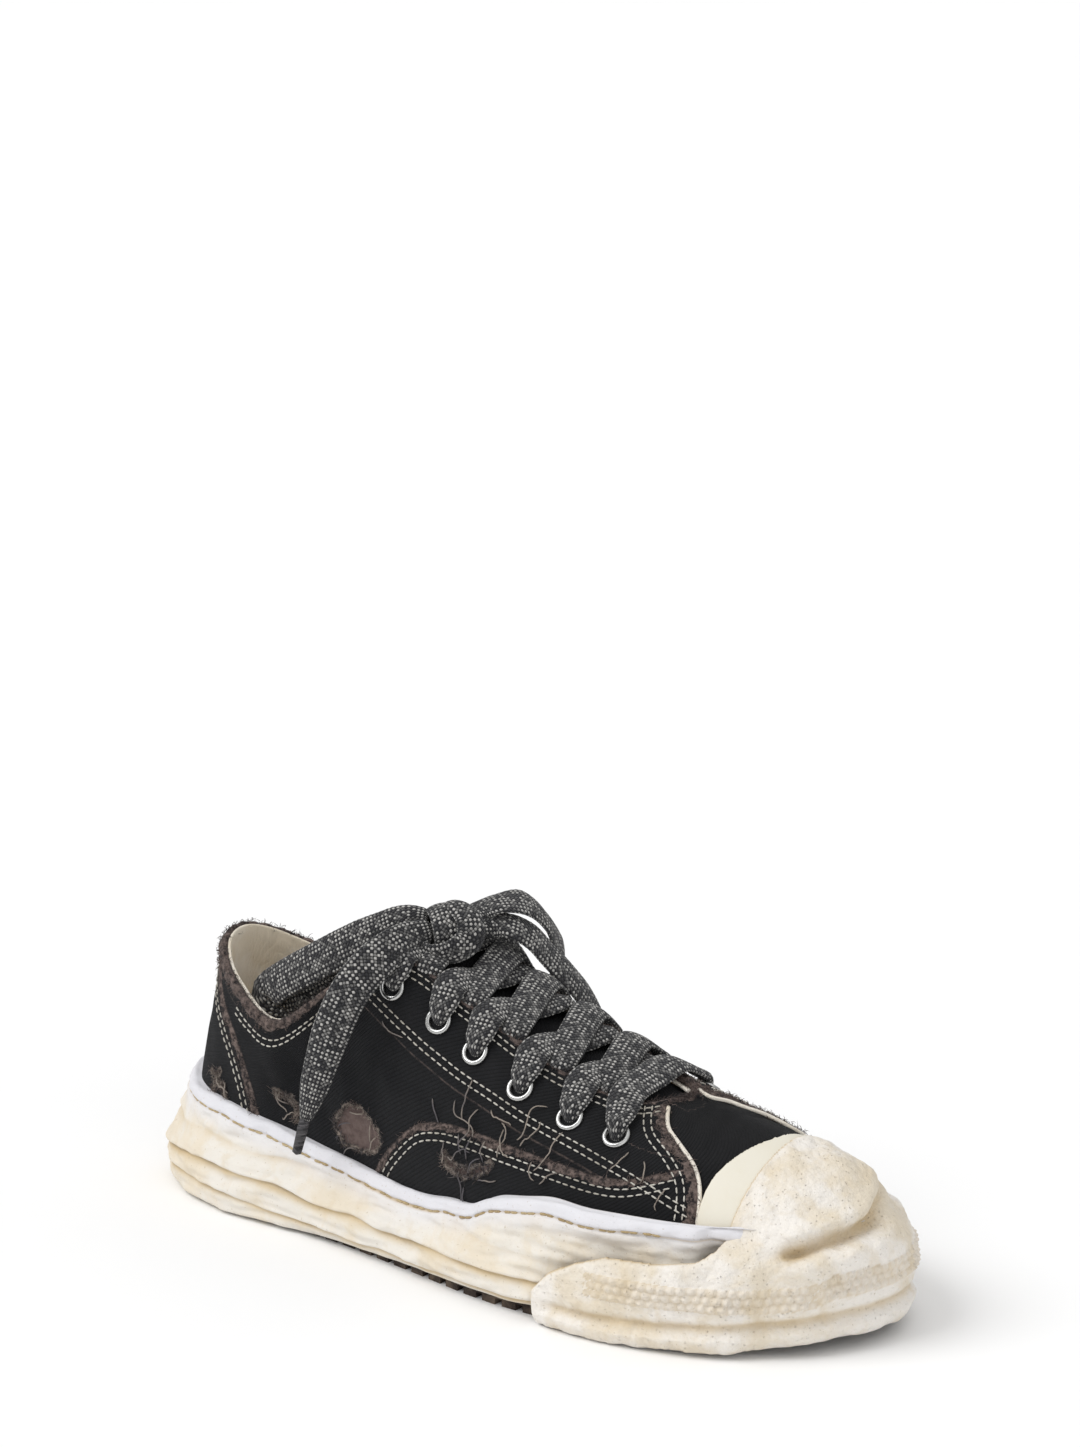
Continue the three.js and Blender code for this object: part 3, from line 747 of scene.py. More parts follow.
def band(name, points, faces, width=LACE_WIDTH, thickness=LACE_THICKNESS, tip=1.6, dish=0.5):
    """A lace's band along points. faces are the ways its flat side looks, one for each point."""
    control = np.asarray(points, float)
    count = max(12, int(lengths(control)[-1] / BAND_STEP))
    path = open_curve(control, count + 1)
    fractions = np.linspace(0, 1, count + 1)
    at = lengths(control) / lengths(control)[-1]
    looks = read_at(fractions, at, np.asarray(faces, float))
    ways = unit(np.gradient(path, axis=0))
    looks = unit(looks - (looks * ways).sum(-1, keepdims=True) * ways)
    sides = np.cross(ways, looks)
    run = lengths(path)
    from_end = np.minimum(run, run[-1] - run)
    closing = np.sqrt(1 - np.clip(1 - from_end / tip, 0, 1) ** 2)
    wide = profile(width, fractions) * closing * (1 + 0.012 * np.sin(run * 2 * math.pi / 2.3))
    thick = profile(thickness, fractions) * closing
    wave = 0.35 * np.sin(run / 9.0 + len(name)) * closing

    def place(s, t):
        i = np.rint(s * count).astype(int)
        across, high = BAND_SECTION[np.rint(t * BAND_AROUND).astype(int)].T
        x = wide[i] / 2 * across
        y = thick[i] / 2 * high * (1 - 0.25 * across**2) - dish * across**2 * closing[i] + wave[i]
        return path[i] + sides[i] * x[:, None] + looks[i] * y[:, None], {}

    piece = laid_sheet(name, count, BAND_AROUND, place, (run[-1], 2.15 * np.mean(wide)))
    return finish_piece(piece, LACE_YARN, "lace")


# %% Where the eyelets are
EYELET_X = [-37, -17.5, -1, 20, 41, 58]  # the opening's edge beside each eyelet
EYELET_REACH = [11, 12, 13, 14, 15, 16]  # each eyelet's centre from that edge


def eyelet_place(x, reach, inner):
    """Where an eyelet sits: reach below the opening's edge, at x along it."""
    low, high = 2.0, 6.4
    for _ in range(24):
        middle = (low + high) / 2
        if rib_value(OPENING_X, RIB_COUNT - middle if inner else middle) > x:
            low = middle
        else:
            high = middle
    turn = RIB_COUNT - low if inner else low
    edge = last_point(turn, 1.0)
    v = 1.0
    while np.linalg.norm(last_point(turn, v) - edge) < reach:
        v -= 0.004
    centre = last_point(turn, v)
    normal = last_normal(turn, v)
    return {"centre": centre, "normal": normal, "edge": edge, "inwards": unit(edge - centre)}


OUTER = [eyelet_place(x, reach, False) for x, reach in zip(EYELET_X, EYELET_REACH)]
INNER = [eyelet_place(x, reach, True) for x, reach in zip(EYELET_X, EYELET_REACH)]
print("eyelets a side:", len(OUTER))

# %% The free stretches of the bow
KNOT = np.array([-31.0, -1.0, 114.0])
OUTER_LOOP = [
    [-38, -4, 115], [-45, -8, 115], [-53, -12, 111], [-66, -17, 103.5], [-80, -20, 94.5],
    [-94, -21, 85.5], [-101, -19.5, 79], [-97, -17, 76], [-86, -17, 80], [-72, -14, 88],
    [-57, -10, 97], [-46, -6, 105], [-38, -3, 110],
]
OUTER_LOOP_FACES = [(0.25, -0.8, 0.55)] * 6 + [(0.1, -0.9, 0.3)] * 2 + [(0.2, -0.9, 0.3)] * 5
OUTER_END = [
    [-34, -7, 113], [-37, -14, 112], [-39, -23, 110], [-42, -32, 105], [-46, -39.5, 96],
    [-50, -43.5, 84], [-53.5, -46.5, 70], [-56.5, -49, 57], [-59, -50, 47],
]
INNER_LOOP = [
    [-28, 5, 116], [-27, 12, 117], [-23, 18, 119], [-18, 27, 118], [-15, 35, 110], [-15, 42, 97],
    [-18, 44, 85], [-22, 42, 78], [-26, 38, 84], [-29, 32, 95], [-31, 22, 105], [-32, 13, 109],
    [-32, 6, 111],
]
INNER_END = [
    [-25, 5, 113], [-21, 12, 113], [-16, 16, 112], [-11, 21, 108], [-7, 26, 101], [-2, 31, 93],
    [1, 36, 85], [4, 40, 75], [6, 43, 64], [8, 45, 55],
]
OUTER_FACE = (0.4, -0.85, 0.25)
INNER_FACE = (0.75, 0.1, 0.65)
INNER_LOOP_FACES = (
    [(0.15, -0.1, 1)] * 3 + [(0.6, 0.3, 0.7)] * 2 + [(0.75, 0.1, 0.6)] * 2 + [(0.7, -0.2, 0.6)] * 6
)


def free_band(name, node, points, faces, sizes):
    """A band that stands for a cord's solid, drawn on its route, and the solid is hidden."""
    piece = band(name, points, faces, *sizes)
    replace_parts(piece, node)
    return piece


# %% Bound tips
def bound_tip(name, node, points):
    """The lace's end, rolled tight and bound, as long as the solid that it stands for."""
    before, end = np.array(points[-2], float), np.array(points[-1], float)
    way = unit(end - before)
    stations = [end - way * 2.5, end + way * 3, end + way * 8, end + way * 12.8]
    face = OUTER_FACE if "outer" in name else INNER_FACE
    widths = [(0, 3.0), (0.2, 4.2), (0.8, 3.6), (1, 3.4)]
    piece = band(name, stations, [face] * 4, widths, 2.8, 0.9, 0.0)
    piece.data.materials[0] = TIP_BINDING
    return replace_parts(piece, node)


def tip_material():
    material, tree, surface = new_material("bound lace tip", 0.6)
    weave = add(tree, "ShaderNodeUVMap").outputs["UV"]
    thread = threads(tree, weave, 0.9, 3.0, 0.6)
    yarn = mix(tree, thread["Shade"], paint(30, 30, 33), paint(84, 82, 84))
    tint(tree, surface, yarn)
    relief(tree, surface, thread["Height"], 0.3)
    return material


TIP_BINDING = tip_material()
tip_outer = bound_tip("bound_tip_outer", "aglet_outer", OUTER_END)
tip_inner = bound_tip("bound_tip_inner", "aglet_inner", INNER_END)
print("bound tips:", tip_outer.name, tip_inner.name)

# %% The bow's loops and ends
LOOP_SIZES = (  # fraction along the loop and width, then fraction and thickness
    [(0, 8.5), (0.08, 13), (0.18, 15.4), (0.82, 15), (0.92, 12), (1, 8)],
    [(0, 4), (0.1, 2.8), (0.9, 2.8), (1, 4)],
)
END_SIZES = (
    [(0, 8), (0.12, 12.5), (0.3, 14.6), (0.62, 14.2), (0.84, 11), (0.94, 7), (1, 3.6)],
    [(0, 4), (0.12, 2.6), (0.9, 2.6), (1, 3)],
)
free_band("bow_loop_outer", "lace_loop_outer", OUTER_LOOP, OUTER_LOOP_FACES, LOOP_SIZES)
free_band("bow_loop_inner", "lace_loop_inner", INNER_LOOP, INNER_LOOP_FACES, LOOP_SIZES)
free_band(
    "bow_end_outer", "lace_end_outer", OUTER_END, [OUTER_FACE] * len(OUTER_END),
    END_SIZES,
)
free_band(
    "bow_end_inner", "lace_end_inner", INNER_END, [INNER_FACE] * len(INNER_END),
    END_SIZES,
)

# %% [markdown]
# ## Knot
# A bow's knot is the lace wrapped round itself. Knotting one long strip would be truest, but it
# hides most of its length inside, so only what shows is made: two turns round the middle, each on
# its own tilted ellipse, and the strand that comes over the front.

# %% Knot
def knot_wrap(name, centre, axis, radii, width, lean=0.0):
    """A turn of the lace round the bow's middle."""
    axis = unit(np.array(axis, float))
    level = unit(np.cross((0, 0, 1), axis))
    rise = np.cross(axis, level)
    angles = np.linspace(-0.6, 2 * math.pi - 0.35, 13)
    points, faces = [], []
    for i, angle in enumerate(angles):
        ray = level * math.cos(angle) + rise * math.sin(angle)
        reach = level * radii[0] * math.cos(angle) + rise * radii[1] * math.sin(angle)
        shift = axis * lean * (i / 12 - 0.5)
        points.append(np.array(centre) + reach + shift)
        faces.append(ray)
    return band(name, points, faces, width, 3.0, 1.6, 0.9)


wrap_middle = knot_wrap("knot_wrap_middle", KNOT + [-1, 0, -1], (18, 20, 2), (8.6, 7.6), 13.0, 3.0)
knot_wrap("knot_wrap_under", KNOT + [2, 1, -3.5], (4, -1, 10), (8.0, 7.0), 10.5, 5.0)
STRAND = [
    [-33, 3, 121], [-27, 0, 121.5], [-21, -2, 118], [-19, -5, 112], [-23, -9, 107.5],
    [-30, -11, 106], [-37, -9, 107],
]
STRAND_FACES = [
    (0.1, 0, 1), (0.3, 0, 1), (0.9, -0.4, 0.5), (0.8, -0.8, 0), (0.3, -0.9, -0.4),
    (0, -0.8, -0.6), (-0.3, -0.8, -0.4),
]
band("knot_strand_front", STRAND, STRAND_FACES, [(0, 9), (0.2, 11), (0.8, 10), (1, 8)], 3.0)
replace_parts(wrap_middle, "lace_knot")
print("the knot's middle:", KNOT)

# %% [markdown]
# ## Crossings over the tongue
# Below the knot the lace zigzags up the tongue. It comes up through an eyelet gathered to a cord,
# flattens across the throat and goes down beneath the other facing, so each half crossing is one
# band with the same start. The lowest row is a straight bar that dives into both its eyelets.

# %% Crossings over the tongue
GATHERED_START = [(0, 4.4), (0.06, 4.8), (0.16, 10.5), (0.28, 12.6), (0.8, 12.4), (1, 10)]
GATHERED_THICK = [(0, 3.8), (0.06, 3.8), (0.16, 3.4), (0.28, 2.5), (1, 2.4)]
BOTH_ENDS = [
    (0, 4.4), (0.06, 4.8), (0.16, 10.5), (0.25, 12.8),
    (0.75, 12.8), (0.84, 10.5), (0.94, 4.8), (1, 4.4),
]
BOTH_THICK = [
    (0, 3.8), (0.06, 3.8), (0.16, 3.4), (0.26, 2.5),
    (0.74, 2.5), (0.84, 3.4), (0.94, 3.8), (1, 3.8),
]
CROSSING_ROWS = len(OUTER) - 1
MIDDLE_FACE = np.array([0.38, 0, 0.92])
UP = np.array([0, 0, 1.0])


def dive(place, lift):
    """The stretch that comes up out of an eyelet and turns over towards the throat."""
    c, n, e = place["centre"], place["normal"], place["inwards"]
    points = [c - n * 3.2, c + n * 0.6, c + n * (lift + 0.6) + e * 2.6, c + n * (lift + 0.7) + e * 7.5]
    faces = [-e, -e * 0.8 + n * 0.6, n - e * 0.2, n]
    return points, faces


def crossing(name, start, end, beside, over):
    """A lace from an eyelet across the tongue, ending beneath the other facing's edge."""
    lift = 3.4 if over else 2.9
    points, faces = dive(start, lift)
    under = end["edge"] * 0.45 + beside["edge"] * 0.55
    middle = (start["edge"] + under) / 2
    points.append(start["edge"] * 0.97 + under * 0.03 + UP * (4.4 if over else 3.2))
    points.append(middle + UP * (4.8 if over else 1.7))
    points.append(under + end["inwards"] * 1.5 + UP * (1.6 if over else 0.4))
    points.append(under - end["inwards"] * 4 - end["normal"] * 2.2)
    lean = unit(start["normal"] + MIDDLE_FACE)
    faces += [lean, MIDDLE_FACE, unit(end["normal"] + MIDDLE_FACE), end["normal"]]
    return band(name, points, faces, GATHERED_START, GATHERED_THICK)


def straight_bar(name, start, end):
    """The lowest lace, which dives into an eyelet at both of its ends."""
    points, faces = dive(start, 3.6)
    back_points, back_faces = dive(end, 3.6)
    middle = (start["edge"] + end["edge"]) / 2
    points += [start["edge"] + UP * 4.4, middle + UP * 5.0, end["edge"] + UP * 4.0]
    faces += [unit(start["normal"] + MIDDLE_FACE), MIDDLE_FACE, unit(end["normal"] + MIDDLE_FACE)]
    return band(name, points + back_points[::-1], faces + back_faces[::-1], BOTH_ENDS, BOTH_THICK)


lace_bar = straight_bar("lace_bar", OUTER[-1], INNER[-1])
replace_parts(lace_bar, "lace_crossings")
for row in range(CROSSING_ROWS):
    crossing(f"lace_under_{row + 1}", OUTER[row], INNER[row + 1], INNER[row], False)
    crossing(f"lace_over_{row + 1}", INNER[row], OUTER[row + 1], OUTER[row], True)


def rise_to_knot(name, start, steps):
    """The lace from a top eyelet up into the knot."""
    points, faces = dive(start, 3.0)
    points = points[:3] + [np.array(step, float) for step in steps]
    faces = faces[:3] + [start["normal"]] * len(steps)
    widths = [(0, 4.4), (0.12, 4.8), (0.35, 11), (1, 12)]
    return band(name, points, faces, widths, [(0, 3.8), (0.3, 3.2), (1, 2.6)])


rise_to_knot("lace_rise_outer", OUTER[0], [(-39, -15.5, 103.5), (-37, -10, 108), (-33, -4, 111)])
rise_to_knot("lace_rise_inner", INNER[0], [(-36, 15, 107.5), (-34, 9, 110), (-31, 3, 112)])
print("crossings:", 1 + 2 * CROSSING_ROWS)


# %% [markdown]
# ## Midsole
# The sole's wall is a stack of soft folds, as if wet clay had slumped, under a smooth lip that
# laps up the canvas. It could be sculpted or displaced by an image. Here each fold is a crease
# whose height wanders round the shoe: the clay bulges just above it and dives in below.

# %% Heights that wander round the sole
BUMPER_EDGE_Z = [-3, 7, 14, 21.5, 27.5, 31.5, 32.2, 34, 37, 90]  # the toe bumper's back edge
BUMPER_EDGE_X = [47.5, 47.5, 49.5, 56.5, 67, 78, 96, 109, 113, 113.5]
# The heights of the three long folds, one at each rib.
LIP_FOLD = [
    22, 22, 22, 22, 23, 24.5, 25.5, 26, 26.5, 26, 24,
    23, 24, 26, 25, 24, 25, 24, 22, 22, 22, 22,
]
MAIN_FOLD = [
    12, 12, 12, 14.5, 13.5, 13.2, 14.2, 16.5, 17.5, 16, 13,
    13.5, 15, 17, 16, 14, 13, 15, 14, 13, 12, 12,
]
LOW_FOLD = [6, 6, 6, 6.5, 5.8, 5.8, 5.5, 6.5, 8.5, 9.5, 9, 8, 8.5, 6.5, 6, 7, 8, 6.5, 6, 6, 6, 6]


def lip_height(turn):
    """The lip's top edge, with the outer side's dip and peak beside the ball."""
    x = closed_curve(RIBS[:, :2], turn)[..., 0]
    outer = (np.asarray(turn) < 8).astype(float)
    return rib_value(LIP, turn) + outer * (1.5 * bell(x - 50, 11) - 3.0 * bell(x - 13, 9))


def fold(distance, depth, soft):
    """Clay over a crease: a bulge above it, a sharp valley and a slow return below."""
    bulge = 0.55 * np.exp(-np.maximum(distance, 0) / (3.2 * soft))
    above = depth * (bulge - 1.25 * bell(distance, 0.8 * soft))
    below = -0.7 * depth * np.exp(-np.maximum(-distance, 0) / (2.2 * soft))
    return np.where(distance > 0, above, below)


print("the lip is", round(float(lip_height(0)), 1), "mm high at the toe")

# %% Midsole skin
LIP_BAND = 4.6  # from the lip's top edge down to its groove
WALL_STOPS = [0, 0.03, 0.05, 0.08, 0.14, 0.3, 0.42, 0.6, 0.72, 0.8, 0.86, 0.9, 0.95, 1.0]


def wall_section(turn):
    """Corners of the sole's section as offset and height, round from under the foot."""
    lip = lip_height(turn)
    hem = rib_value(HEM, turn)
    bulge = rib_value(BULGE, turn)
    tread = rib_value(TREAD_EDGE, turn)
    same = np.ones_like(lip)
    corners = [
        (tread - 8, TREAD + GAP), (tread + GAP, TREAD + GAP), (tread + GAP + 0.2, hem + 0.2),
        (bulge - 2.2, hem - 0.2), (bulge, hem + 3.2), (bulge + 0.3, 12), (bulge - 0.6, 17),
        (np.minimum(bulge - 1.5, -2), lip - 9), (-3.8, lip - 3), (-5, lip - 0.4),
        (-6.9, lip + 0.1), (-9.6, lip - 2), (-10.2, FOOT),
    ]
    return np.stack([np.stack([offset * same, height * same], -1) for offset, height in corners])


def place_midsole(s, t):
    turn = turn_at(s)
    corners = wall_section(turn)
    count = len(corners)
    where = np.interp(t, WALL_STOPS, np.arange(count + 1))
    whole = np.floor(where).astype(int)
    part = (where - whole)[:, None]
    index = np.arange(len(s))
    around = [corners[(whole + step) % count, index] for step in (-1, 0, 1, 2)]
    offset, z = between(*around, part).T
    smooth = sole_point(turn, offset, z)
    lip = lip_height(turn)
    hem = rib_value(HEM, turn)
    shown = ease(0.06, 0.1, t) * (1 - ease(0.84, 0.88, t))
    wander = 1.3 * lumps(smooth * [1, 1, 0.2], 34, 11)
    strength = 0.75 + 0.45 * lumps(smooth * [1, 1, 0.3], 40, 12)
    folded = strength * fold(z - closed_curve(LIP_FOLD, turn) - wander, 0.9, 1.7)
    folded += strength * fold(z - closed_curve(MAIN_FOLD, turn) - 0.6 * wander, 2.3, 1.0)
    folded += strength * fold(z - closed_curve(LOW_FOLD, turn) + 0.5 * wander, 1.9, 0.8)
    groove = z - (lip - LIP_BAND + 0.3 * lumps(smooth, 16, 13))
    folded += ease(-6, -1, groove) * 0.5 - 1.1 * bell(groove, 0.75)
    uneven = lumps(smooth * [1, 1, 2.2], 26, 14) + 0.4 * lumps(smooth * [1, 1, 1.6], 9, 15)
    uneven += 0.5 * lumps(smooth * [0.6, 0.6, 3.2], 13, 19) * ease(0, -4, groove)
    uneven += 0.1 * lumps(smooth, 3.2, 16)
    swell = (folded + uneven) * shown
    height_wave = 0.5 * lumps(smooth * [1, 1, 0], 15, 17) * ease(0.7, 0.82, t) * shown
    height_wave += 0.5 * lumps(smooth * [1, 1, 0], 21, 18) * bell(z - hem, 3) * shown
    # Under the bumper the lip sinks, so that it never shows through.
    beside_cap = ease(106, 112, smooth[:, 0]) * ease(10, -10, smooth[:, 1])
    under_pour = np.maximum(beside_cap, 1.3 * ease(112, 124, smooth[:, 0]))
    covered = under_pour * ease(28.5, 31, smooth[:, 2])
    swell -= 4.0 * covered * (1 - ease(0.84, 0.88, t))
    points = sole_point(turn, offset + swell, z + height_wave)
    points[:, 2] = np.maximum(points[:, 2], 0.3)
    lip_band = (0.5 * ease(-8, -1, groove) + 0.4 * ease(-1.2, 0.4, groove)) * (1 - ease(0.97, 1.0, t))
    # Painted shade: marked darker in the folds' valleys and where the wall tucks in under the canvas.
    painted_shade = np.clip(0.1 - folded, 0, 3) * shown + 0.8 * ease(0.86, 0.9, t)
    return points, {"painted_shade": painted_shade, "lip": lip_band}


midsole = laid_sheet("midsole_folds", 640, 118, place_midsole, (PERIMETER, 110))
finish_piece(midsole, CLAY, "clay", "midsole")

# %% [markdown]
# ## Toe bumper
# A second, thicker pour wraps the toe from ball to ball and rises over the cap. It has a flange,
# a band of small knobs and one deep crease with an overhanging lip. Its columns climb the wall
# and then the upper, and each ends where the pour ends.

# %% Bumper columns
BUMPER_WALL = [[0, 0.5], [3, 3.2], [3.8, 8], [4, 16], [3.4, 24], [1.2, 30], [-2.2, 34.5]]
BUMPER_OUT = 3.8  # outside the sole's outline
BUMPER_START = 48.2
CAP = 2.0  # how far the toe cap's rubber stands off the canvas
MOUTH_TURNS = [-1.2, -0.8, -0.4, 0.0, 0.16, 0.29, 0.54, 0.83, 1.09, 1.4]
MOUTH_HEIGHTS = [48, 49, 48.5, 46, 44, 42.2, 41, 39.5, 38, 37.2]
BUMPER_COLUMNS = 450
BUMPER_ROWS = 104


def bumper_column(turn):
    """A path up the wall and over the dome at one turn, as far as the pour reaches."""
    wall = open_curve([[offset, z, 0] for offset, z in BUMPER_WALL], 70)
    low = sole_point(np.full(70, turn), wall[:, 0], wall[:, 1])
    v = np.linspace(0.2, 0.98, 130)
    rows = last_point(np.full(130, turn), v)
    swell = GAP + CAP + 0.5 + 5 * ease(108, 134, rows[:, 0])
    dome = upper_point(np.full(130, turn), v, swell)
    above = dome[dome[:, 2] > low[-1, 2] + 2.0]
    path = np.concatenate([low, above]) if len(above) else low
    path = softened(evenly(path, 240), 6)
    beyond = path[:, 0] < np.interp(path[:, 2], BUMPER_EDGE_Z, BUMPER_EDGE_X)
    beyond[:3] = False
    end = np.argmax(beyond) if beyond.any() else len(path)
    return evenly(path[:max(end, 4)], BUMPER_ROWS + 1)


def bumper_range():
    """The turns, inner side first, between which the bumper stands."""
    turns = np.linspace(0, RIB_COUNT, 2201)
    x = sole_point(turns, np.full(2201, BUMPER_OUT), 10)[:, 0]
    ahead = turns[x > BUMPER_START]
    return ahead[ahead > HEEL_TURN].min() - RIB_COUNT, ahead[ahead < HEEL_TURN].max()


ring_turns = np.linspace(*bumper_range(), 900)
ring = sole_point(ring_turns, np.full(900, BUMPER_OUT), 12)
along_ring = np.linspace(0, lengths(ring)[-1], BUMPER_COLUMNS + 1)
bumper_turns = np.interp(along_ring, lengths(ring), ring_turns)[::-1]
columns = np.stack([bumper_column(turn) for turn in bumper_turns], 1)
print("bumper runs", round(along_ring[-1]), "mm round the toe")


# %% Bumper skin
def knobs(along, z, turn):
    """Three staggered rows of small knobs, worn away here and there."""
    pitch, rise = 3.5, 2.9
    low = np.interp(turn, [-3.2, -1, 0, 0.8, 1.0, 1.5, 3.0], [19, 22, 22.5, 22, 19.5, 18.5, 18])
    row = np.rint((z - low) / rise)
    shifted = along / pitch + 0.5 * (row % 2)
    side = (shifted - np.rint(shifted)) * pitch
    up = (z - low) - row * rise
    inside = (row >= 0) & (row <= 2)
    gap = 1 - 0.85 * bell(turn - 0.98, 0.07)
    ends = ease(-3.0, -2.7, turn) * (1 - ease(2.7, 3.0, turn))
    return np.where(inside, bell(np.hypot(side, up), 1.15), 0) * gap * ends


def sheet_normals(grid):
    """Outward normals of a grid of points, rows first."""
    return unit(np.cross(np.gradient(grid, axis=1), np.gradient(grid, axis=0)))


def place_bumper(s, t):
    j = np.rint(s * BUMPER_COLUMNS).astype(int)
    i = np.rint(t * BUMPER_ROWS).astype(int)
    smooth = columns[i, j]
    normal = sheet_normals(columns)[i, j]
    turn = bumper_turns[j]
    height = smooth[:, 2]
    z = height - spring(smooth[:, 0])
    reach = np.linalg.norm(np.diff(columns, axis=0), axis=-1).sum(0)[j]
    top_gap = (1 - t) * reach
    end_gap = np.minimum(along_ring[j], along_ring[-1] - along_ring[j])
    bottom_gap = t * reach + 1.2
    edge = np.minimum(np.minimum(top_gap, end_gap), bottom_gap)
    on_cap = ease(34, 38, height)
    rounding = (2.9 - 1.7 * on_cap) * quarter_round(edge, 3.4 - 1.6 * on_cap)
    mouth = height - np.interp(turn, MOUTH_TURNS, MOUTH_HEIGHTS) - 0.4 * lumps(smooth, 14, 21)
    open_mouth = ease(1.36, 1.1, turn) * ease(-1.0, 0.35, turn)
    crease = -4.6 * bell(np.where(mouth > 0, mouth / 1.3, mouth / 2.4), 1.0)
    lips = 2.6 * bell(mouth - 3.6, 3.2) + 1.3 * bell(mouth + 6.5, 3.5)
    socket = -2.2 * bell(np.hypot((turn - 1.2) * 14, (mouth + 1.5)), 2.4)
    worn = 0.75 + 0.4 * lumps(smooth, 22, 22)
    small = 2.0 * worn * knobs(along_ring[j], height + 0.5 * lumps(smooth, 30, 23), turn)
    flange = 1.5 * ease(7.0, 5.4, z + 0.8 * lumps(smooth, 30, 24)) - 1.9 * bell(z - 9.0, 1.9)
    flange *= ease(0, 16, end_gap)
    soft = 0.9 * lumps(smooth, 24, 25) + 0.5 * lumps(smooth, 9, 26) + 0.2 * lumps(smooth, 3.4, 27)
    brow = bell(height - 34, 4) * ease(0, 30, end_gap)
    deep = (crease + lips) * open_mouth + socket
    total = deep + flange + brow + (small + soft) * ease(0, 3, edge) - rounding
    points = smooth + normal * total[:, None]
    floor_gap = 0.4 + 0.8 * spring(smooth[:, 0]) * ease(4, 0, z)
    points[:, 2] = np.maximum(points[:, 2], floor_gap)
    # Painted shade: marked darker in the mouth's crease, the flange's groove and the socket, round the
    # knobs and along the pour's edges.
    painted_shade = 0.2 - 0.14 * crease * open_mouth - 0.3 * flange - 0.5 * small - 0.3 * socket
    painted_shade = np.clip(painted_shade, 0, 3) + 0.9 * ease(1.6, 0, edge)
    painted_shade += 0.5 * (knobs(along_ring[j], height, turn) > 0.02)
    return points, {"painted_shade": painted_shade, "lip": 0.0}


bumper = laid_sheet("toe_bumper_pour", BUMPER_COLUMNS, BUMPER_ROWS, place_bumper, (along_ring[-1], 60))
thicken(bumper, 2.2)
finish_piece(bumper, CLAY_TOE, "clay", "toe_bumper")

# %% [markdown]
# ## Toe cap
# Between the canvas and the bumper a smooth rubber cap shows as a crescent. It is a skin two
# millimetres off the canvas whose back edge is a curve in plan, with a rounded rim.

# %% Toe cap skin
CAP_EDGE = open_curve([  # x and y, from the outer side to the inner side
    [104, -64], [103, -44], [101, -29], [104, -15], [108, -2], [110.5, 10], [110.5, 24], [109, 62],
], 200)
CAP_COLUMNS = 220
CAP_ROWS = 46


def past_cap_edge(path):
    """How far each point lies in front of the cap's back edge."""
    return path[:, 0] - np.interp(path[:, 1], CAP_EDGE[:, 1], CAP_EDGE[:, 0])


def cap_column(turn):
    """A path from low on the upper to the cap's back edge, at one turn."""
    path = upper_point(np.full(200, turn), np.linspace(0.99, 0.12, 200), GAP + CAP)
    start = np.argmax(past_cap_edge(path) > 0)
    kept = max(8, int(0.75 * (200 - start)))
    return evenly(path[start:start + kept][::-1], CAP_ROWS + 1)


def cap_reaches(turn):
    """Whether the column at this turn crosses the cap's back edge well above the sole."""
    path = upper_point(np.full(60, turn), np.linspace(0.9, 0.3, 60), GAP + CAP)
    return (past_cap_edge(path) > 1).any()


reached = [turn for turn in np.linspace(-2.4, 2.4, 481) if cap_reaches(turn)]
cap_turns = np.linspace(max(reached), min(reached), CAP_COLUMNS + 1)
cap_grid = np.stack([cap_column(turn) for turn in cap_turns], 1)


def place_cap(s, t):
    j = np.rint(s * CAP_COLUMNS).astype(int)
    i = np.rint(t * CAP_ROWS).astype(int)
    smooth = cap_grid[i, j]
    normal = sheet_normals(cap_grid)[i, j]
    reach = np.linalg.norm(np.diff(cap_grid, axis=0), axis=-1).sum(0)[j]
    edge = (1 - t) * reach
    sink = 1.7 * quarter_round(edge, 1.5)
    wave = 0.12 * lumps(smooth, 17, 31)
    # The sunken back edge is marked for painted shade.
    return smooth + normal * (wave - sink)[:, None], {"painted_shade": ease(1.2, 0, edge)}


cap = laid_sheet("smooth_toe_cap", CAP_COLUMNS, CAP_ROWS, place_cap, (130, 40))
thicken(cap, 1.5)
finish_piece(cap, CAP_RUBBER, "cap", "toe_cap")


# %% [markdown]
# ## Canvas panels
# The upper is sewn from a vamp, a quarter and three overlays: the heel panel, the eyelet facing
# and a low guard along the sole. Their cut edges were left raw. Separate sheets would have to be
# fitted to each other, so one skin steps up by a cloth's thickness wherever a panel lies over
# another, at the panel's drawn edge.

# %% Lines on the upper
TABLE_TURNS, TABLE_V = np.meshgrid(
    np.linspace(0, RIB_COUNT, 1321), np.linspace(0.02, 1, 120), indexing="ij",
)
TABLE = last_point(TABLE_TURNS, TABLE_V)


def line_on_upper(points, side, count=44):
    """A smooth line on one side of the upper, from its points' x and z. Outer side is -1."""
    flat = open_curve([[x, z, 0] for x, z in points], count)[:, :2]
    half = (TABLE_TURNS < HEEL_TURN) == (side < 0)
    turns, heights, places = TABLE_TURNS[half], TABLE_V[half], TABLE[half]
    found = []
    for x, z in flat:
        nearest = np.argmin((places[:, 0] - x) ** 2 + (places[:, 2] - z) ** 2)
        found.append((turns[nearest], heights[nearest]))
    turn, v = softened(np.array(found), 3).T
    return last_point(turn, v), last_normal(turn, v)


def signed_gap(points, normals, line, side, closed=False):
    """Distance to a line, positive on its left as seen from outside the outer side."""
    if closed:
        line = np.concatenate([line, line[:1]])
    nearest = np.full(len(points), 1e9)
    sign = np.ones(len(points))
    for start, end in zip(line[:-1], line[1:]):
        way = end - start
        t = np.clip(((points - start) @ way) / (way @ way), 0, 1)
        away = points - start - t[:, None] * way
        far = np.linalg.norm(away, axis=1)
        closer = far < nearest
        nearest = np.where(closer, far, nearest)
        turning = (np.cross(way, away) * normals).sum(-1)
        sign = np.where(closer, np.where(turning > 0, 1.0, -1.0), sign)
    return nearest * sign * -side


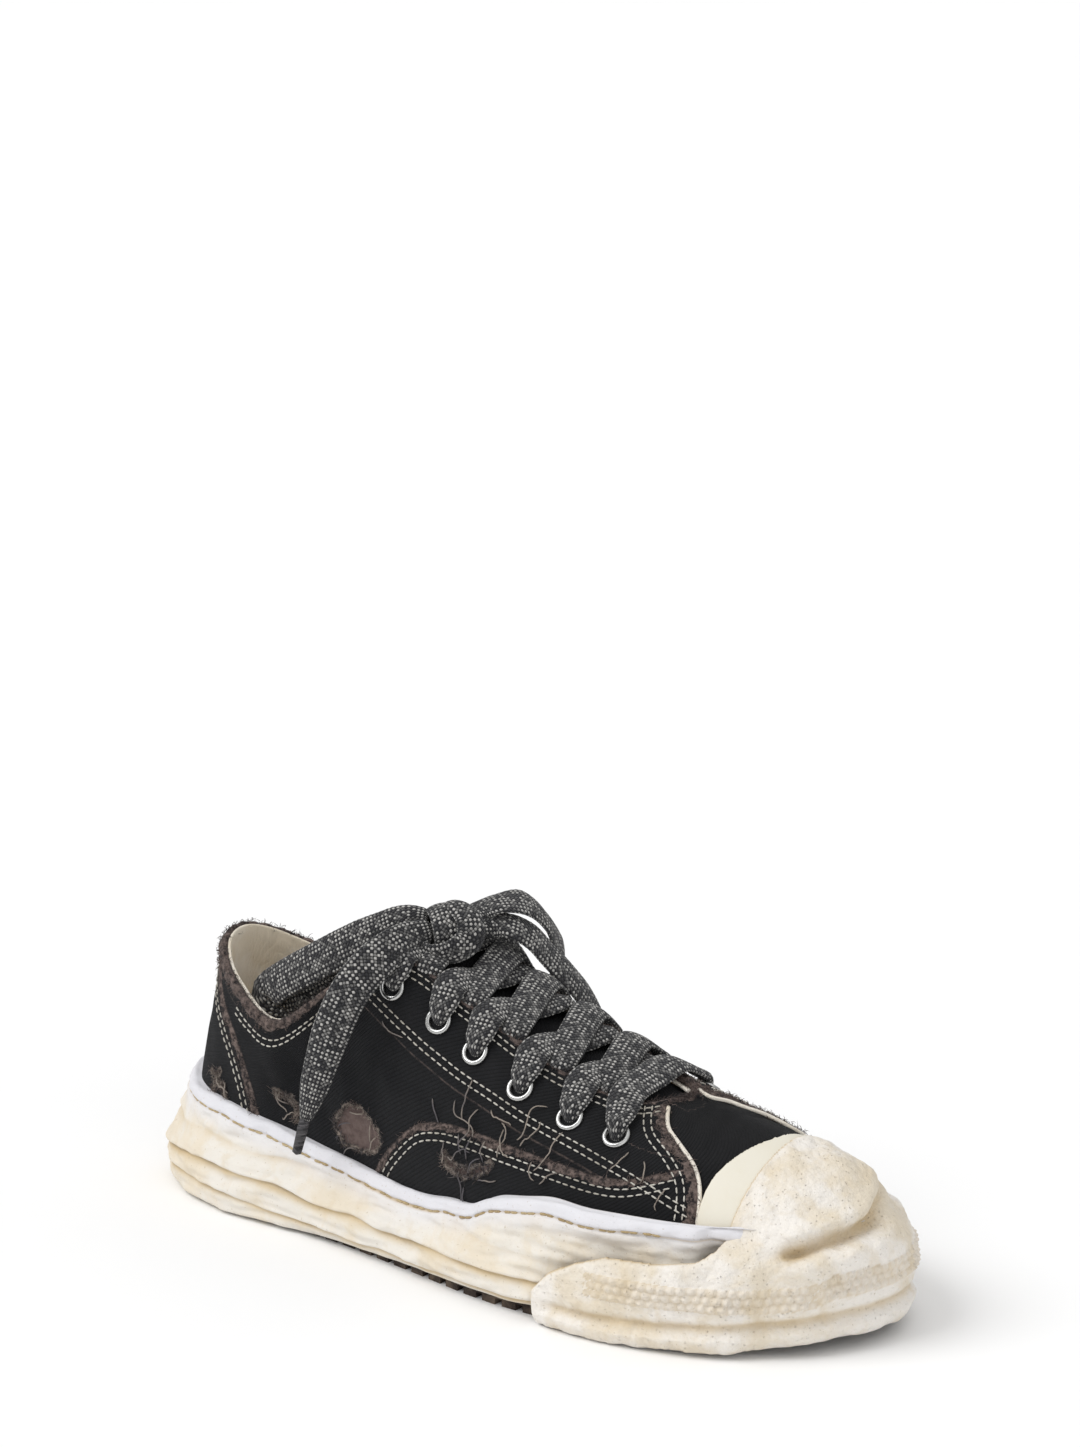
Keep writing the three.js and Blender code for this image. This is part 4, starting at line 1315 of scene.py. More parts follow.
# The panels' edges and the damage, as x and z.
HEEL_EDGE = [(-128, 92), (-123, 80), (-117, 72), (-109, 64), (-102, 55), (-97, 46), (-93, 34)]
FACING_EDGE = [
    (-56, 92), (-50, 86), (-32, 77), (-10, 68), (16, 61), (33, 57), (55, 53), (76, 48), (98, 41),
]
GUARD_EDGE = [
    (-38, 26), (-34, 35), (-28, 42), (-20, 50), (-10, 53.5), (2, 54.5), (13, 54), (27, 53), (43, 52),
    (57, 51), (70, 50.5), (78, 52), (88, 55.5),
]
FRONT_EDGE = {
    -1: [(71, 69.5), (75, 66), (80, 63.5), (86, 61), (93, 57), (97.5, 53), (100.5, 47), (103, 36)],
    1: [(72, 71), (78, 69.2), (86.6, 65.8), (94.4, 61.9), (100.1, 57), (104, 49), (107, 38)],
}
HOLE = [
    (-58, 43), (-54, 48.5), (-48, 51.5), (-41, 49), (-34.5, 43), (-36.5, 37.5), (-45, 36),
    (-53, 37.5),
]
SLIT = [(-2, 44), (3, 41), (10, 41), (19, 46)]
SCRAPES = [
    ([(-86, 49), (-79, 48), (-75, 44), (-76, 40)], 0.55),
    ([(-122, 46), (-119, 42), (-114, 45), (-112, 38), (-109, 35)], 0.45),
    ([(-122, 38), (-117, 48)], 0.4),
]

SEAMS = {}
for side in (-1, 1):
    SEAMS["heel", side] = line_on_upper(HEEL_EDGE, side)
    SEAMS["facing", side] = line_on_upper(FACING_EDGE, side)
    SEAMS["guard", side] = line_on_upper(GUARD_EDGE, side, 60)
    SEAMS["front", side] = line_on_upper(FRONT_EDGE[side], side)
hole_line = line_on_upper(HOLE + HOLE[:1], -1, 40)[0][:-1]
slit_line = line_on_upper(SLIT, -1, 16)[0]
scrape_lines = [(line_on_upper(points, -1, 12)[0], width) for points, width in SCRAPES]
print("seams:", len(SEAMS))

# %% Where the panels overlap
OVERLAP = 0.75  # how much an overlay stands proud
FRAY_WIDTH = {"heel": 3.2, "facing": 0.0, "guard": 2.6, "front": 4.2, "rim": 2.7}
OUTWARDS = {"heel": -1, "facing": 1, "guard": -1, "front": -1}  # which side of its line is raised
FAR = 50.0  # stands for no edge near, in mm


def panel_relief(points, normals, turn):
    """How far the panels stand proud, and each point's nearest raw edge with its fluff's width."""
    on_outer = turn < HEEL_TURN
    central = np.minimum(turn, RIB_COUNT - turn) < 0.25
    proud = np.zeros(len(points))
    fray_gap = np.full(len(points), FAR)
    fray_width = np.zeros(len(points))
    for side in (-1, 1):
        half = on_outer == (side < 0)
        here, looks = points[half], normals[half]
        gap = {
            name: sign * signed_gap(here, looks, SEAMS[name, side][0], side)
            for name, sign in OUTWARDS.items()
        }
        # Ahead of both lines' ends a point's side of them means nothing: the vamp lies low.
        for name in ("heel", "front"):
            gap[name] = np.where(central[half], -np.abs(gap[name]), gap[name])
        raised = ease(-0.45, 0.35, gap["front"])
        step = {name: ease(-0.45, 0.35, gap[name]) for name in ("heel", "facing", "guard")}
        second_layer = 0.9 * np.maximum(step["facing"], step["guard"])
        proud[half] = OVERLAP * (raised * (1 + second_layer) + step["heel"])
        gap["facing"] = np.where(gap["guard"] > 0.3, FAR, gap["facing"])
        for name in ("facing", "guard", "heel"):
            gap[name] = np.where(gap["front"] < 0.5, FAR, gap[name])
        nearest, width = np.full(len(here), FAR), np.zeros(len(here))
        for name, value in gap.items():
            closer = np.abs(value) < np.abs(nearest)
            nearest = np.where(closer, value, nearest)
            width = np.where(closer, FRAY_WIDTH[name], width)
        fray_gap[half], fray_width[half] = nearest, width
    return proud, fray_gap, fray_width


def tear_depth(points, normals, on_outer):
    """How far inside a hole, slit or scrape each point lies, negative outside."""
    torn = np.full(len(points), -20.0)
    here, looks = points[on_outer], normals[on_outer]
    ragged = 0.7 * lumps(here, 5.5, 41) + 0.4 * lumps(here, 2.6, 42)
    depth = -signed_gap(here, looks, hole_line, -1, closed=True)
    for line, width in [(slit_line, 1.3)] + scrape_lines:
        depth = np.maximum(depth, width - np.abs(signed_gap(here, looks, line, -1)))
    torn[on_outer] = depth + ragged
    return torn


print("edges that leave a raised panel:", len(OUTWARDS))

# %% Canvas skin
CANVAS_COLUMNS = 720
CANVAS_ROWS = 122
OUTER_FACE_SHARE = 0.86  # of the rows, the rest turn over the rim and line the inside
V_LOW = 0.04
WRINKLES = [  # x and z of each end on either side, depth and width
    ((-62, 74), (-40, 56), 0.7, 5), ((-78, 62), (-60, 42), 0.6, 5), ((-30, 66), (-8, 60), 0.5, 4),
    ((-100, 66), (-84, 44), 0.5, 4), ((10, 56), (46, 47), 0.6, 4), ((-50, 60), (-44, 36), 0.5, 4),
]


def soft_wrinkles(points):
    """How the worn cloth swells and sinks, with two creases across the vamp."""
    total = 0.35 * lumps(points, 30, 43) + 0.16 * lumps(points, 11, 44)
    for (x1, z1), (x2, z2), depth, width in WRINKLES:
        start, way = np.array([x1, z1]), np.array([x2 - x1, z2 - z1], float)
        flat = points[:, [0, 2]] - start
        t = np.clip(flat @ way / (way @ way), 0, 1)
        far = np.linalg.norm(flat - t[:, None] * way, axis=1)
        total -= depth * bell(far, width) - 0.5 * depth * bell(far - 1.6 * width, width)
    for x in (82, 92):
        across = points[:, 0] - x - 0.008 * points[:, 1] ** 2
        total -= 0.55 * bell(across, 3.0) * ease(56, 62, points[:, 2])
    return total


def place_canvas(s, t):
    turn = turn_at(s)
    v = np.interp(t, [0, OUTER_FACE_SHARE, 0.92, 0.99, 1.0], [V_LOW, 1, 1, V_LOW, V_LOW])
    base = last_point(turn, v)
    normal = last_normal(turn, v)
    edge = last_point(turn, 1.0)
    rim_gap = np.linalg.norm(edge - base, axis=1)
    proud, fray_gap, fray_width = panel_relief(base, normal, turn)
    torn = tear_depth(base, normal, turn < HEEL_TURN)
    outside = t <= OUTER_FACE_SHARE
    collar = np.maximum(ease(5.6, 6.4, turn) * ease(16.4, 15.6, turn), 0.35)
    roll = collar * (0.8 * bell(rim_gap - 1.2, 2.6) + 0.25 * lumps(base, 4.5, 45) * bell(rim_gap, 4))
    outer_offset = proud + soft_wrinkles(base) * ease(2, 12, rim_gap) + roll
    outer_offset -= 1.0 * ease(-0.2, 1.4, torn) - 0.35 * bell(torn + 0.7, 0.8)
    outer_offset -= 0.35 * bell(fray_gap - 0.2, 0.5) * (fray_width > 0)
    swing = math.pi * np.clip((t - OUTER_FACE_SHARE) / (0.92 - OUTER_FACE_SHARE), 0, 1)
    at_rim = OVERLAP + 0.8 * collar * bell(-1.2, 2.6)
    rolled = (at_rim - 1.3) / 2 + (at_rim + 1.3) / 2 * np.cos(swing)
    offset = np.where(outside, outer_offset, np.where(t < 0.93, rolled, -1.3))
    offset = np.where(t > 0.995, outer_offset, offset)
    climb = unit(edge - last_point(turn, 0.96))
    beyond = np.sin(swing) * (1.1 + 0.6 * collar + 0.45 * lumps(base, 3.5, 46))
    points = base + normal * offset[:, None] + climb * beyond[:, None]
    closer = (rim_gap < 6.5) & (rim_gap < np.abs(fray_gap))
    fray_gap = np.where(closer, rim_gap, fray_gap)
    fray_width = np.where(closer, FRAY_WIDTH["rim"] * np.maximum(collar, 0.6), fray_width)
    return points, {"fray_gap": fray_gap, "fray_width": fray_width, "torn": torn}


canvas = laid_sheet("canvas_upper", CANVAS_COLUMNS, CANVAS_ROWS, place_canvas, (PERIMETER, 118))
finish_piece(canvas, CANVAS, "canvas", "upper")
canvas_tree = BVHTree.FromObject(canvas, bpy.context.evaluated_depsgraph_get())


# %% [markdown]
# ## Lining
# A cream cotton lining covers the inside and shows as a thin edge above the canvas. It could be
# the canvas's own inner face in another finish, but a second skin can stand a little higher at the
# throat and crease on its own.

# %% Lining skin
def place_lining(s, t):
    turn = turn_at(s)
    v = np.interp(t, [0, 0.4, 0.5, 0.99, 1.0], [0.05, 1, 1, 0.05, 0.05])
    base = last_point(turn, v)
    normal = last_normal(turn, v)
    edge = last_point(turn, 1.0)
    throat_inner = ease(16.2, 16.6, turn) * ease(21.4, 21, turn)
    throat_outer = ease(5.8, 5.4, turn) * ease(0.6, 1.0, turn)
    show = 0.7 + 1.9 * throat_inner + 0.6 * throat_outer
    swing = math.pi * np.clip((t - 0.4) / 0.1, 0, 1)
    creased = 0.48 * lumps(base * [1, 1, 0.5], 12, 51) + 0.16 * lumps(base, 6, 52)
    inside = ease(0.5, 0.55, t) * ease(1.0, 0.97, t)
    offset = -1.95 + 0.6 * np.cos(swing) + creased * inside
    offset = np.where(t > 0.995, -1.35, offset)
    climb = unit(edge - last_point(turn, 0.96))
    near_edge = ease(0.3, 0.4, t) * ease(0.6, 0.5, t)
    rising = near_edge * show + 0.6 * np.sin(swing)
    return base + normal * offset[:, None] + climb * rising[:, None], {}


lining = laid_sheet("cream_lining", 360, 90, place_lining, (PERIMETER, 180))
finish_piece(lining, LINING, "canvas")

# %% [markdown]
# ## Tongue
# The tongue lies under the facings and arches a little across the throat. Its top stands up
# behind the knot. It is lofted through a few rows across the foot, then given its thickness.

# %% Tongue skin
TONGUE_UNDER = -(WALL + 1.5)
TONGUE = 2.4


def tongue_row(turn):
    """Nine points across the tongue, under both facings at one turn."""
    other = RIB_COUNT - turn
    crown = 3 * ease(0.6, 2.5, 6 - turn)
    near = [upper_point(np.array(turn), v, TONGUE_UNDER) for v in (0.8, 0.9, 0.99)]
    far = [upper_point(np.array(other), v, TONGUE_UNDER) for v in (0.99, 0.9, 0.8)]
    bridge = []
    for t in (0.25, 0.5, 0.75):
        bridge.append(near[2] * (1 - t) + far[0] * t + UP * crown * math.sin(math.pi * t))
    return near + bridge + far


def tongue_root(reach):
    """Nine points round the throat's front, where the tongue is sewn under the vamp."""
    near = [(2.6, 0.72), (2.2, 0.8), (1.7, 0.85), (0.9, 0.87), (0.0, 0.87)]
    far = [(RIB_COUNT - turn, v) for turn, v in near[3::-1]]
    return [upper_point(np.array(float(turn)), v - reach, TONGUE_UNDER) for turn, v in near + far]


tongue_rows = [tongue_row(turn) for turn in (6, 5.6, 5.2, 4.8, 4.4, 4, 3.6, 3.2, 2.9)]
tongue_top = []
for reach in (13, 9, 4):
    rounded = reach * (1 - 0.35 * (np.abs(np.arange(9) - 4) / 4) ** 3)
    tongue_top.append(np.array(tongue_rows[0]) + rounded[:, None] * np.array([-0.96, 0, 0.2]))
tongue_grid = np.array([*tongue_top, *tongue_rows, tongue_root(0), tongue_root(0.06)])
tongue_grid = np.stack([open_curve(row, 71) for row in tongue_grid])
tongue_grid = np.stack([open_curve(column, 141) for column in tongue_grid.transpose(1, 0, 2)], 1)


def place_tongue(s, t):
    i = np.rint(t * 140).astype(int)
    j = np.rint((1 - s) * 70).astype(int)
    smooth = tongue_grid[i, j]
    normal = -sheet_normals(tongue_grid)[i, j]
    normal *= np.sign(normal[:, 2:3])
    height = 0.3 * lumps(smooth, 20, 61) + 0.12 * lumps(smooth, 8, 62)
    from_top = t * 150
    near_side = np.minimum(s, 1 - s) * 60
    rim = np.minimum(from_top, near_side)
    return smooth + normal * height[:, None], {"fray_gap": rim, "fray_width": 1.2, "torn": -20.0}


tongue = laid_sheet("canvas_tongue", 70, 140, place_tongue, (60, 150))
thicken(tongue, TONGUE)
finish_piece(tongue, CANVAS, "canvas", "tongue")

# %% [markdown]
# ## Eyelets
# A nickel eyelet is a barrel with a rolled flange. Its profile is walked out from one circle by
# extruding and scaling the edge, and the ring is then copied to the twelve places.

# %% Rolled eyelet, modelled once and copied
EYELET_PROFILE = [  # radius and height above the canvas
    (3.1, -2.3), (3.1, 1.0), (3.25, 1.45), (3.6, 1.8), (4.1, 1.95), (4.6, 1.8), (4.95, 1.45),
    (5.05, 1.05), (4.95, 0.8), (3.5, 0.8), (3.5, -2.3), (3.1, -2.3),
]


def model_eyelet():
    """One eyelet, standing on the origin."""
    bpy.ops.object.select_all(action="DESELECT")
    radius, height = EYELET_PROFILE[0]
    bpy.ops.mesh.primitive_circle_add(vertices=48, radius=radius * MM, location=(0, 0, height * MM))
    piece = bpy.context.object
    bpy.ops.object.transform_apply(location=True)
    bpy.ops.object.mode_set(mode="EDIT")
    bpy.ops.mesh.select_all(action="SELECT")
    for next_radius, next_height in EYELET_PROFILE[1:]:
        ratio = next_radius / radius
        shift = (0, 0, (next_height - height) * MM)
        bpy.ops.mesh.extrude_edges_move(TRANSFORM_OT_translate={"value": shift})
        bpy.ops.transform.resize(value=(ratio, ratio, 1), center_override=(0, 0, next_height * MM))
        radius, height = next_radius, next_height
    bpy.ops.mesh.select_all(action="SELECT")
    bpy.ops.mesh.remove_doubles(threshold=1e-6)
    bpy.ops.mesh.normals_make_consistent(inside=False)
    bpy.ops.object.mode_set(mode="OBJECT")
    bpy.ops.object.shade_smooth()
    return piece


pattern = model_eyelet()
for side_name, places in (("outer", OUTER), ("inner", INNER)):
    for number, place in enumerate(places, 1):
        eyelet = bpy.data.objects.new(f"rolled_eyelet_{side_name}_{number}", pattern.data.copy())
        bpy.context.collection.objects.link(eyelet)
        turning = Vector((0, 0, 1)).rotation_difference(Vector(place["normal"])).to_matrix().to_4x4()
        seat = Vector(metres(place["centre"] + place["normal"] * 0.9))
        eyelet.data.transform(Matrix.Translation(seat) @ turning)
        finish_piece(eyelet, NICKEL, "eyelet", f"eyelet_{side_name}_{number}")
bpy.data.objects.remove(pattern)
print("eyelets set:", len(OUTER) + len(INNER))

# %% [markdown]
# ## Stitches
# Each panel is held by two rows of white stitches. They could be painted, but thread that stands
# off the cloth catches the light. A stitch is a short six-sided capsule, hundreds of copies are
# joined into one mesh, and each is set on the nearest point of the finished canvas.

# %% Copies of a small shape, joined
def small_rings(rings, sides):
    """Points and faces of a closed shape through rings of x, radius and rise along x."""
    angles = np.arange(sides) * 2 * math.pi / sides
    points, faces = [], []
    for x, radius, rise in rings:
        points += [(x, radius * math.cos(a), radius * math.sin(a) + rise) for a in angles]
    for ring_index in range(len(rings) - 1):
        for k in range(sides):
            a, b = ring_index * sides + k, ring_index * sides + (k + 1) % sides
            faces.append((a, b, b + sides, a + sides))
    faces.append(tuple(range(sides))[::-1])
    faces.append(tuple(range((len(rings) - 1) * sides, len(rings) * sides)))
    return np.array(points, float), faces


CAPSULE = small_rings([(-0.5, 0.4, -0.5), (-0.3, 1, 0), (0.3, 1, 0), (0.5, 0.4, -0.5)], 6)
SPIKE = small_rings([(0, 1, 0), (0.55, 0.8, 3.0), (1, 0.15, 1.0)], 3)


def joined_copies(name, shape, origins, along, widths, up, material, slot):
    """One mesh of copies: each lies along its vector, as wide as its width."""
    points, faces = shape
    ways = unit(along)
    side = unit(np.cross(up, ways))
    top = np.cross(ways, side)
    reach = np.linalg.norm(along, axis=1)[:, None, None]
    wide = np.asarray(widths)[:, None, None]
    placed = origins[:, None] + ways[:, None] * points[None, :, :1] * reach
    placed = placed + side[:, None] * points[None, :, 1:2] * wide
    placed = placed + top[:, None] * points[None, :, 2:3] * wide
    every = []
    for copy in range(len(origins)):
        first = copy * len(points)
        every += [tuple(first + k for k in face) for face in faces]
    print(name, "copies:", len(origins))
    return finish_piece(mesh_piece(name, placed.reshape(-1, 3), every), material, slot)


def nearest_on(tree, points, lift=0.0):
    """The nearest places on a finished skin, in millimetres, and its normals there."""
    found = [tree.find_nearest(Vector(point)) for point in metres(points)]
    places = np.array([hit[0] for hit in found]) / MM - CENTRING
    normals = np.array([hit[1] for hit in found])
    return places + normals * lift, normals


print("faces of a stitch and of a hair:", len(CAPSULE[1]), len(SPIKE[1]))



# %% White stitching
STITCH = 2.3
STITCH_GAP = 0.9
stitch_origins, stitch_vectors, stitch_normals = [], [], []


def sew(line, normals, reach):
    """A row of stitches beside a line, reach millimetres to its right."""
    ways = unit(np.gradient(line, axis=0))
    shifted = line + np.cross(normals, ways) * reach + normals
    run = lengths(shifted)
    starts = np.arange(0.5, run[-1] - STITCH, STITCH + STITCH_GAP)
    first, looks = nearest_on(canvas_tree, read_at(starts, run, shifted), 0.12)
    second, _ = nearest_on(canvas_tree, read_at(starts + STITCH, run, shifted), 0.12)
    stitch_origins.append((first + second) / 2)
    stitch_vectors.append(second - first)
    stitch_normals.append(looks)


def edge_line(first_turn, last_turn, reach):
    """A line that keeps its distance from the opening's edge."""
    turns = np.linspace(first_turn, last_turn, 60)
    slope = np.linalg.norm(last_point(turns, 1.0) - last_point(turns, 0.9), axis=1) / 0.1
    v = 1 - reach / slope
    return last_point(turns, v), last_normal(turns, v)


SEW_REACH = {"heel": (4.6, 7.2), "facing": (3.4, 6.0), "guard": (3.2, 5.8), "front": (5.2, 7.8)}
for (name, side), (line, normals) in SEAMS.items():
    for reach in SEW_REACH[name]:
        sew(line, normals, reach * OUTWARDS[name] * -side)
for first_turn, last_turn, reaches in (
    (2.35, 5.9, (3.2, 5.6)), (16.1, 19.7, (3.2, 5.6)), (6.3, 8.9, (6.6, 9.0)), (13.1, 15.7, (6.6, 9.0)),
):
    for reach in reaches:
        sew(*edge_line(first_turn, last_turn, reach), 0)
origins = np.concatenate(stitch_origins)
vectors = np.concatenate(stitch_vectors)
looks = np.concatenate(stitch_normals)
reached = np.linalg.norm(vectors, axis=1)
kept = (reached > 1.2) & (reached < 3.4)
joined_copies(
    "white_stitching", CAPSULE, origins[kept], vectors[kept], np.full(kept.sum(), 0.3),
    looks[kept], WHITE_THREAD, "lace",
)

# %% [markdown]
# ## Stitches round the lip
# Long stitches of waxed thread lie in the groove under the lip. Each is two capsules end to end,
# so that it bends with the sole.

# %% Stitches round the lip
LIP_STITCH = 6.2
LIP_PITCH = 8.2
lip_turns = np.linspace(2.35, 19.7, 2400)
lip_line = sole_point(lip_turns, np.full(2400, -4.3), lip_height(lip_turns) - LIP_BAND)
lip_run = lengths(lip_line)
starts = np.arange(0, lip_run[-1] - LIP_STITCH, LIP_PITCH)
midsole_tree = BVHTree.FromObject(midsole, bpy.context.evaluated_depsgraph_get())
knees = []
for share in (0.0, 0.5, 1.0):
    raw = read_at(starts + share * LIP_STITCH, lip_run, lip_line)
    knees.append(nearest_on(midsole_tree, raw))
for k, name in ((0, "back"), (1, "front")):
    (a, look), (b, _) = knees[k], knees[k + 1]
    joined_copies(
        f"lip_stitches_{name}", CAPSULE, (a + b) / 2 + look * 0.1, (b - a) * 1.12,
        np.full(len(a), 0.55), look, TAN_THREAD, "clay",
    )

# %% [markdown]
# ## Fluff along the raw edges
# Cut twill sheds its fibres, and a colour alone would look flat against the light. A hair system
# is lost when the shoe is exported, so each hair is a bent three-sided spike, set at a seeded
# random point of the strips that the canvas marks as frayed and leaning its own way.

# %% Fluff along the raw edges
HAIRS = 9000
RIM_HAIRS = 750
random = np.random.default_rng(71)


def canvas_values(source, name, width, kind=float):
    """What the canvas mesh holds for each of its points."""
    values = np.empty(len(canvas.data.vertices) * width, kind)
    source.foreach_get(name, values)
    return values.reshape(-1, width)


canvas_points = canvas_values(canvas.data.vertices, "co", 3) / MM - CENTRING
canvas_normals = canvas_values(canvas.data.vertices, "normal", 3)
gap, width, torn = (
    canvas_values(canvas.data.attributes[name].data, "value", 1, np.float32)[:, 0]
    for name in ("fray_gap", "fray_width", "torn")
)


def grow(name, count, chance, scatter, rise, reach, widths, material):
    """Hairs at random points of the canvas, likelier where chance is high."""
    chosen = random.choice(len(chance), count, p=chance / chance.sum())
    roots = canvas_points[chosen]
    if scatter:
        roots = roots + random.normal(size=(count, 3)) * scatter
    looks = canvas_normals[chosen]
    lean = random.normal(size=(count, 3))
    lean -= (lean * looks).sum(-1, keepdims=True) * looks
    ways = unit(unit(lean) + looks * random.uniform(*rise, (count, 1)))
    hairs = ways * random.gamma(4.0, reach, (count, 1))
    thick = random.uniform(*widths, count)
    return joined_copies(name, SPIKE, roots, hairs, thick, looks, material, "canvas")


patchy = 0.5 + 0.5 * lumps(canvas_points, 9, 72)
in_strip = (gap > -0.5) & (gap < width * (0.7 + 0.5 * patchy)) & (width > 1)
in_rim = np.abs(torn + 0.2) < 1.1
chance = np.where(in_strip, 0.5 + patchy, 0.0) + np.where(in_rim, 2.2, 0.0)
grow("frayed_fluff", HAIRS, chance, 0.35, (0.05, 0.75), 0.33, (0.07, 0.15), FLUFF)
chance = np.where(np.abs(torn + 0.1) < 0.8, 1.0, 0.0)
grow("light_rim_fluff", RIM_HAIRS, chance, 0, (0.1, 0.6), 0.36, (0.08, 0.14), GREY_THREAD)

# %% [markdown]
# ## Loose threads
# Here and there a warp thread has pulled out and curls over the cloth. Each starts at a place on
# the outer side, wanders with a seeded heading, is dropped on the canvas by a ray and then lifted
# in a hump. A tube swept along the path gives it its thickness.

# %% Loose threads
STRAY_STEP = 0.7


def tubes(name, paths, radius, material, slot, sides=6):
    """Thin round threads along paths, joined in one mesh."""
    points, faces = [], []
    for path in paths:
        ways = unit(np.gradient(path, axis=0))
        side = unit(np.cross(ways, [0.3, 0.5, 0.8]))
        top = np.cross(ways, side)
        base = sum(len(part) for part in points)
        angles = np.arange(sides)[None, :, None] * 2 * math.pi / sides
        ring = side[:, None] * np.cos(angles) + top[:, None] * np.sin(angles)
        slim = radius * np.clip(np.minimum(lengths(path), lengths(path)[::-1]) / radius, 0.15, 1)
        points.append((path[:, None] + ring * slim[:, None, None]).reshape(-1, 3))
        for i in range(len(path) - 1):
            for k in range(sides):
                a, b = base + i * sides + k, base + i * sides + (k + 1) % sides
                faces.append((a, b, b + sides, a + sides))
        faces.append(tuple(base + k for k in range(sides))[::-1])
        faces.append(tuple(base + (len(path) - 1) * sides + k for k in range(sides)))
    print(name, "threads:", len(paths))
    return finish_piece(mesh_piece(name, np.concatenate(points), faces), material, slot)


def stray(x, z, angle, length, curl, lift, seed):
    """A thread lying on the outer side from x, z, wandering as it goes."""
    draw = np.random.default_rng(seed)
    steps = int(length / STRAY_STEP)
    bends = 0.16 * np.cumsum(draw.normal(size=steps)) + 0.22 * np.sin(np.arange(steps) / 4 + seed)
    heading = math.radians(angle) + bends * curl
    moves = np.stack([np.cos(heading), np.sin(heading)], 1) * STRAY_STEP
    flat = np.array([x, z]) + np.cumsum(moves, axis=0)
    path = []
    for px, pz in flat:
        start = Vector(metres([px, -120, pz]))
        hit = canvas_tree.ray_cast(start, Vector((0, 1, 0)))
        if hit[0] is None:
            break
        path.append(np.array(hit[0]) / MM - CENTRING + np.array(hit[1]) * 0.3)
    path = np.array(path)
    if len(path) < 6:
        return None
    hump = lift * np.sin(np.linspace(0, math.pi, len(path)))
    hump *= 1 + 0.3 * np.sin(np.arange(len(path)) / 2.5)
    return evenly(path + np.array([0.1, -1, 0.25]) * hump[:, None], len(path))


STRAYS = [  # x, z, heading in degrees, length, curl, lift
    (-3, 64, -70, 18, 1.0, 1.6), (8, 63, -110, 16, 1.2, 1.8), (2, 57, 60, 14, 1.0, 1.2),
    (18, 60, -20, 14, 1.4, 1.4), (20, 59, -75, 12, 1.5, 1.8), (26, 56, 20, 18, 1.2, 1.6),
    (44, 62, -120, 16, 1.0, 1.4), (24, 60, 160, 12, 1.6, 1.2), (28, 54, -30, 12, 1.6, 1.4),
    (2, 54, -80, 8, 1.0, 0.8), (8, 54, -95, 9, 0.8, 0.8), (14, 54, -70, 8, 1.0, 0.8),
    (36, 52, -60, 8, 1.4, 1.0), (-2, 45, -40, 14, 1.6, 1.2), (4, 42, -70, 14, 1.0, 0.6),
    (10, 42, 70, 8, 1.2, 1.0), (14, 40, 30, 10, 1.4, 1.0), (-3, 41, 100, 9, 1.4, 1.0),
    (8, 37, -60, 10, 1.2, 0.8), (48, 50, 200, 9, 1.6, 1.0), (-14, 62, -60, 10, 0.6, 0.8),
    (-120, 46, -50, 9, 2.2, 1.0), (-118, 42, 60, 8, 2.2, 1.0), (-113, 38, 100, 8, 2.0, 0.9),
    (-86, 49, -10, 10, 2.0, 1.0), (-79, 46, -70, 9, 2.2, 1.0), (-76, 42, 130, 9, 2.4, 1.0),
    (-57, 41, 60, 8, 1.2, 0.7), (-52, 48, 10, 9, 1.2, 0.7), (-41, 47, -50, 8, 1.2, 0.7),
    (-37, 43, -120, 8, 1.2, 0.7), (-46, 36, 180, 9, 1.2, 0.7), (-30, 79, 170, 12, 0.5, 0.5),
    (70, 60, -100, 8, 1.4, 0.9), (76, 58, -60, 8, 1.4, 0.9), (88, 52, -95, 8, 1.6, 1.0),
]
stray_paths = [stray(*spec, 100 + i) for i, spec in enumerate(STRAYS)]
stray_paths = [path for path in stray_paths if path is not None]
tubes("loose_threads", stray_paths, 0.24, GREY_THREAD, "canvas")

# %% [markdown]
# ## Piping
# The folded edge of the lining peeps out along the front of both facings as a thin cream cord.
# It follows the same seams as the stitches, smoothed more, because a cord doesn't take a fray's
# small bends.

